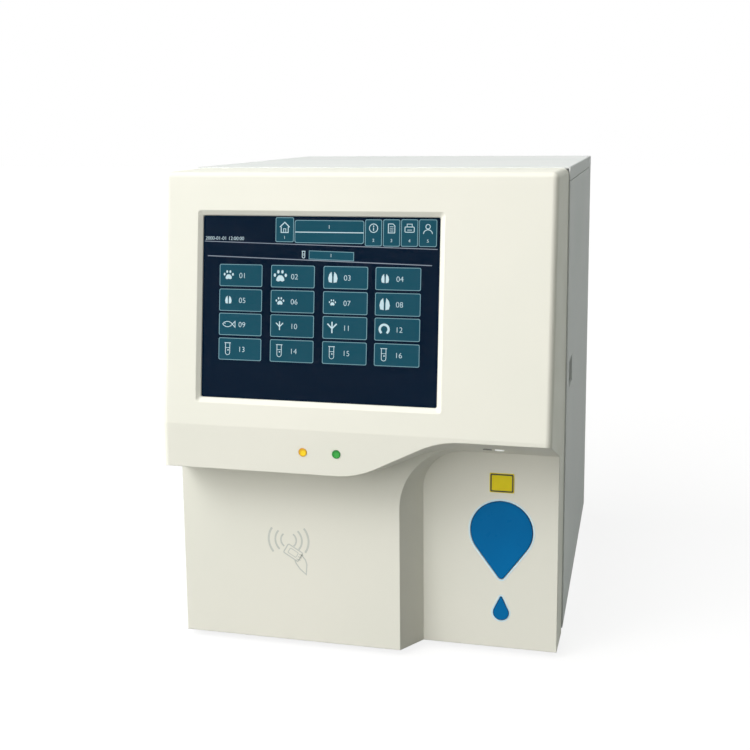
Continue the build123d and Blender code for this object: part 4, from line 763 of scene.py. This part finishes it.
# Sign where a card is held: waves on both sides of a tilted card that a hand holds
panel_front = -192.5 * MM
sign_slope, sign_right, sign_up = 0.04, 0.3, 2.0
card_place = (2.2, -3.0, -33)
palm = [(3.4, -9.8), (4.6, -13.4), (8.0, -18.4), (13.6, -23.6), (14.8, -14.0), (13.6, -9.4),
        (9.6, -4.4)]
reader = middle_of("card_reader")
sign_plane = plane_at((reader.x + sign_right * MM, panel_front, reader.z + sign_up * MM),
                      (1, 0, sign_slope), (-sign_slope, 0, 1))
sign = Drawing("card_sign", sign_plane, low=-0.05, high=0.06)
for radius, reach, width in ((7.4, 52, 1.5), (12.8, 44, 1.7), (19.2, 37, 1.9)):
    for start in (0, 180):
        sign.line(arc(-1.5, 9.0, radius, start - reach, start + reach, 18), width)
sign.line(turned(centred(8.0, 4.9, 1.2), *card_place), 1.1, closed=True)
sign.line(turned(centred(4.4, 2.6, 0.8), *card_place), 0.8, closed=True)
sign.line(palm, 1.1)
for finger in range(3):
    stroke = [(9.4, 3.0 - 2.7 * finger), (5.4, 2.0 - 2.7 * finger)]
    sign.line(turned(stroke, *card_place), 0.9)
sign.piece("printed_grey", "housing", "cover_white")

# Pale trim lines round the key and the drop lens, each drop a radius, a reach and a tip
key_drop, lens_drop = (28.0, 45.0, 3.0), (7.2, 15.4, 1.0)
lip, key_proud = 2.0, 0.6
key_low, key_high = corners_of("aspirate_key")
wall_y = key_low.y + key_proud * MM
key_z = key_high.z - (key_drop[0] + lip) * MM
lens_z = corners_of("drop_lens")[0].z + (lens_drop[0] + lip) * MM
for trim_name, node_name, z, outline, side, gap, width in (
    ("key_trim", "aspirate_key", key_z, key_drop, -1, 0.55, 1.5),
    ("lens_trim", "drop_lens", lens_z, lens_drop, 1, 0.45, 1.2),
):
    trim_plane = front_at(middle_of(node_name).x, wall_y, z)
    trim = Drawing(trim_name, trim_plane, low=-0.1, high=0.15)
    trim.band(drop(*outline, gap + width, side), drop(*outline, gap, side))
    trim.piece("printed_pale", "housing", "cover_white")

# Dark border printed on the plain yellow plate
plate = middle_of("notice_plate")
plate_front = corners_of("notice_plate")[0].y
border = Drawing("plate_border", front_at(plate.x, plate_front, plate.z), low=-0.05, high=0.04)
border.band(centred(10.4, 8.4, 1.4), centred(9.1, 7.1, 0.8))
border.piece("printed_black", "housing", "yellow_plate")


# Rear fittings

rear_face = corners_of("rear_panel")[1].y


def rear_at(x, z):
    """Plane on the rear panel's outer face, its middle at a place in metres."""
    return plane_at((x, rear_face, z), (-1, 0, 0), (0, 0, 1))


def cross(reach, half):
    """Outline of a cross recess with its corners and the middles of its sides."""
    arm = [(reach, -half), (reach, half), (half, half)]
    corners = [turned([point], 0, 0, quarter * 90)[0] for quarter in range(4) for point in arm]
    outline = []
    for i, (x, y) in enumerate(corners):
        next_x, next_y = corners[(i + 1) % len(corners)]
        outline += [(x, y), ((x + next_x) / 2, (y + next_y) / 2)]
    return outline


def round_like(outline, radius):
    """Circle whose points lie in the same directions as those of an outline."""
    return [(radius * x / math.hypot(x, y), radius * y / math.hypot(x, y)) for x, y in outline]


# Pan head screws: two columns of three on the panel and four round the fan
head_radius, head_height, recess_floor = 3.0, 2.0, 0.8
screw_low, screw_high = corners_of("rear_screws")
screw_columns = (screw_low.x + head_radius * MM, screw_high.x - head_radius * MM)
screw_rows = (0.130, 0.225, screw_high.z - head_radius * MM)
fan, fan_screw_reach = middle_of("fan_guard"), 35.75 * MM
screw_places = [(x, z) for x in screw_columns for z in screw_rows]
screw_places += [(fan.x + i * fan_screw_reach, fan.z + j * fan_screw_reach)
                 for i in (-1, 1) for j in (-1, 1)]
# Radius and level from the end of the shank up to the rim of the recess
screw_profile = (
    (0.4, -8.0), (1.4, -6.8), (1.4, 0.0), (head_radius, 0.0), (head_radius, 0.9), (2.8, 1.35),
    (2.35, 1.75), (1.8, 1.97))
screws = Skin("rear_pan_screws")
for number, (x, z) in enumerate(screw_places):
    recess_turn = 37 * number
    rim = turned(cross(1.5, 0.42), 0, 0, recess_turn)
    bottom = turned(cross(1.15, 0.26), 0, 0, recess_turn)
    outlines = [level_at(round_like(rim, radius), level) for radius, level in screw_profile]
    outlines += [level_at(rim, head_height), level_at(bottom, recess_floor)]
    screws.stack(rear_at(x, z), outlines)
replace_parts(screws.piece("steel_bright", "housing", "steel_bright"), "rear_screws")

# Fan guard: four wire rings on two crossed wires
wire_radius, guard_reach, outward = 0.75, 39.3, (0, 0, 1)
guard = Skin("fan_guard_wires")
guard_plane = rear_at(fan.x, fan.z)
for ring_radius in (39.25, 30.25, 21.25, 12.25):
    path = level_at(circle(0, 0, ring_radius, 72), wire_radius)
    guard.wire(guard_plane, path, wire_radius, outward, ring=True)
for angle in (0, 90):
    path = level_at(turned([(-guard_reach, 0), (guard_reach, 0)], 0, 0, angle), wire_radius)
    guard.wire(guard_plane, path, wire_radius, outward)
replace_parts(guard.piece("steel_bright", "housing", "steel_bright"), "fan_guard")

# Data ports: contact wires in the network socket, tongues with contacts in the other two
port_pitch, wire_pitch, strip_pitch = 24.0, 1.02, 2.3
network_x = corners_of("data_ports")[0].x + 9.5 * MM
port_z = middle_of("data_ports").z
# Height and level along a contact wire; half width, half height and level along a tongue
bent_wire = ((4.6, -12.6), (4.5, -5.2), (4.0, -4.6), (3.2, -5.0), (1.2, -9.6))
tongue_profile, tongue_up = ((5.2, 0.9, -13.0), (5.2, 0.9, -3.4), (4.7, 0.5, -2.6)), 0.3
tongues, contacts = Skin("port_tongues"), Skin("port_contacts")
for number in range(8):
    wire_x = (number - 3.5) * wire_pitch
    path = [(wire_x, up, level) for up, level in bent_wire]
    contacts.wire(rear_at(network_x, port_z), path, 0.2, (1, 0, 0), sides=6)
for port in (1, 2):
    plane = rear_at(network_x + port * port_pitch * MM, port_z)
    tongues.stack(plane, [
        level_at(rounded(-half_w, tongue_up - half_h, half_w, tongue_up + half_h, 0.3), level)
        for half_w, half_h, level in tongue_profile])
    for number in range(4):
        strip_x = (number - 1.5) * strip_pitch
        strip = rounded(strip_x - 0.5, -0.75, strip_x + 0.5, -0.5, 0.1)
        contacts.stack(plane, [level_at(strip, level) for level in (-12.0, -4.2)])
tongues.piece("black_plastic", "housing", "black_plastic")
contacts.piece("contact_gold", "housing", "steel_bright")

# Printed numbers over the fluid ports
fluid_radius, fluid_pitch, digit_up, digit_size = 8.0, 22.0, 3.0, 8.0
fluid_low, fluid_high = corners_of("fluid_ports")
numbers = Drawing("port_numbers", rear_at(fluid_low.x, fluid_high.z), low=-0.05, high=0.05)
for number in range(4):
    digit_x = -(fluid_radius + fluid_pitch * number)
    numbers.text(str(number + 1), digit_x, digit_up, digit_size)
numbers.piece("printed_rear", "housing", "shell_paint")

# Line and ring on the two halves of the rocker, which rests with its upper half pressed.
# Each half has a low and a high end, given out from the rear face and up from the pivot.
rocker_x, pivot_z = middle_of("power_rocker").x, 0.076
for mark_name, low_end, high_end in (
    ("rocker_mark_on", (1.18, 0.21), (0.836, 9.08)),
    ("rocker_mark_off", (3.89, -8.25), (1.18, 0.21)),
):
    rise = (0, high_end[0] - low_end[0], high_end[1] - low_end[1])
    middle = (rocker_x, rear_face + (low_end[0] + high_end[0]) / 2 * MM,
              pivot_z + (low_end[1] + high_end[1]) / 2 * MM)
    mark = Drawing(mark_name, plane_at(middle, (-1, 0, 0), rise), low=-0.04, high=0.04)
    if mark_name == "rocker_mark_on":
        mark.line([(0, -1.7), (0, 1.7)], 0.7)
    else:
        mark.line(circle(0, 0, 1.6, 24), 0.6, closed=True)
    mark.piece("printed_white", "rocker", "rocker_black")


# Camera, floor and light

def photo_camera():
    """Camera of the photograph, solved from the housing's straight edges."""
    place = (0.24205, -1.1335, 0.4789)
    yaw, pitch, roll = 0.2380, 0.1536, 0.0094
    image_size, focal_length, middle_row = 750.0, 1123.0, 299.7
    sensor_width = 36.0
    ahead = Vector((-math.sin(yaw) * math.cos(pitch), math.cos(yaw) * math.cos(pitch),
                    -math.sin(pitch)))
    level = Vector((math.cos(yaw), math.sin(yaw), 0))
    plumb = ahead.cross(level)
    right = math.cos(roll) * level + math.sin(roll) * plumb
    down = math.cos(roll) * plumb - math.sin(roll) * level
    camera = bpy.data.objects.new("camera", bpy.data.cameras.new("camera"))
    turn = Matrix((right, -down, -ahead)).transposed().to_4x4()
    camera.matrix_world = Matrix.Translation(place) @ turn
    camera.data.sensor_width = sensor_width
    camera.data.lens = focal_length * sensor_width / image_size
    camera.data.shift_y = (middle_row - image_size / 2) / image_size
    camera.data.clip_end = 50.0
    bpy.context.scene.collection.objects.link(camera)
    bpy.context.scene.camera = camera


def lamp_facing(lamp, ahead, strength, color):
    """Object that holds a lamp and shines ahead."""
    lamp.energy, lamp.color = strength, color
    made = bpy.data.objects.new(lamp.name, lamp)
    made.rotation_euler = ahead.to_track_quat("-Z", "Y").to_euler()
    bpy.context.scene.collection.objects.link(made)
    return made


def soft_box(name, place, target, size, strength):
    """Square soft lamp aimed at a point."""
    lamp = bpy.data.lights.new(name, "AREA")
    lamp.shape, lamp.size = "SQUARE", size
    made = lamp_facing(lamp, Vector(target) - Vector(place), strength, (1, 1, 1))
    made.location = place


def soft_sun(name, toward, spread, strength, color=(1, 1, 1), mirrored=True):
    """Even soft light from one direction, spread in degrees, seen or not in reflections."""
    lamp = bpy.data.lights.new(name, "SUN")
    lamp.angle = math.radians(spread)
    made = lamp_facing(lamp, -Vector(toward), strength, color)
    made.visible_glossy = mirrored


def seen_share(tree):
    """1 for camera, glossy and transmitted rays, 0 for the rest."""
    path = add_node(tree, "ShaderNodeLightPath")
    total = path.outputs["Is Camera Ray"]
    for name in ("Is Glossy Ray", "Is Transmission Ray"):
        both = add_node(
            tree, "ShaderNodeMath", {0: total, 1: path.outputs[name]}, operation="MAXIMUM")
        total = both.outputs[0]
    return total


def studio_floor(glow_level):
    """Large pale floor, just below the feet, that keeps the object's shadow."""
    half, below = 12.0, 0.0002
    corners = [(-half, -half, 0), (half, -half, 0), (half, half, 0), (-half, half, 0)]
    mesh = bpy.data.meshes.new("studio_floor")
    mesh.from_pydata(corners, [], [(0, 1, 2, 3)])
    made = Finish("studio_floor", Roughness=0.9, Specular_IOR_Level=0.0,
                  Emission_Color=(1, 1, 1, 1))
    made.clouds(tone(132, 132, 132), tone(128, 128, 128), 1.5)
    made.feed(made.math("MULTIPLY", seen_share(made.tree), glow_level), "Emission Strength")
    mesh.materials.append(made.material)
    floor = bpy.data.objects.new("studio_floor", mesh)
    floor.location.z = -below
    bpy.context.scene.collection.objects.link(floor)


def studio_world(ambient, tint):
    """White where it is seen, a plain soft level of a tint where it only lights."""
    world = bpy.data.worlds.new("studio")
    bpy.context.scene.world = world
    world.use_nodes = True
    tree = world.node_tree
    back = tree.nodes["Background"]
    share = seen_share(tree)
    shade = add_node(tree, "ShaderNodeMix", {0: share, 6: tint, 7: (1, 1, 1, 1)}, data_type="RGBA")
    level = add_node(tree, "ShaderNodeMapRange", {"Value": share, "To Min": ambient})
    tree.links.new(shade.outputs[2], back.inputs["Color"])
    tree.links.new(level.outputs["Result"], back.inputs["Strength"])


photo_camera()
studio_floor(0.84)
studio_world(0.14, (1.0, 0.985, 0.85, 1))
soft_sun("key_sun", (-0.68, -0.57, 0.45), 80.0, 2.85, (1.0, 0.99, 0.98))
soft_sun("front_sun", (-0.1, -0.99, 0.08), 60.0, 0.4)
soft_sun("top_sun", (-0.1, 0.0, 0.99), 30.0, 0.55, (0.92, 0.95, 1.0))
# The top cover would mirror the low rear light as a white streak.
soft_sun("rear_sun", (-0.05, 0.99, 0.10), 40.0, 0.75, mirrored=False)
soft_sun("right_sun", (0.85, 0.50, 0.15), 40.0, 0.46, (0.86, 1.0, 0.95))
soft_box("key_box", (-0.75, -1.05, 1.1), (-0.1, -0.2, 0.4), 0.6, 6.0)
bpy.context.scene.view_settings.view_transform = "Standard"
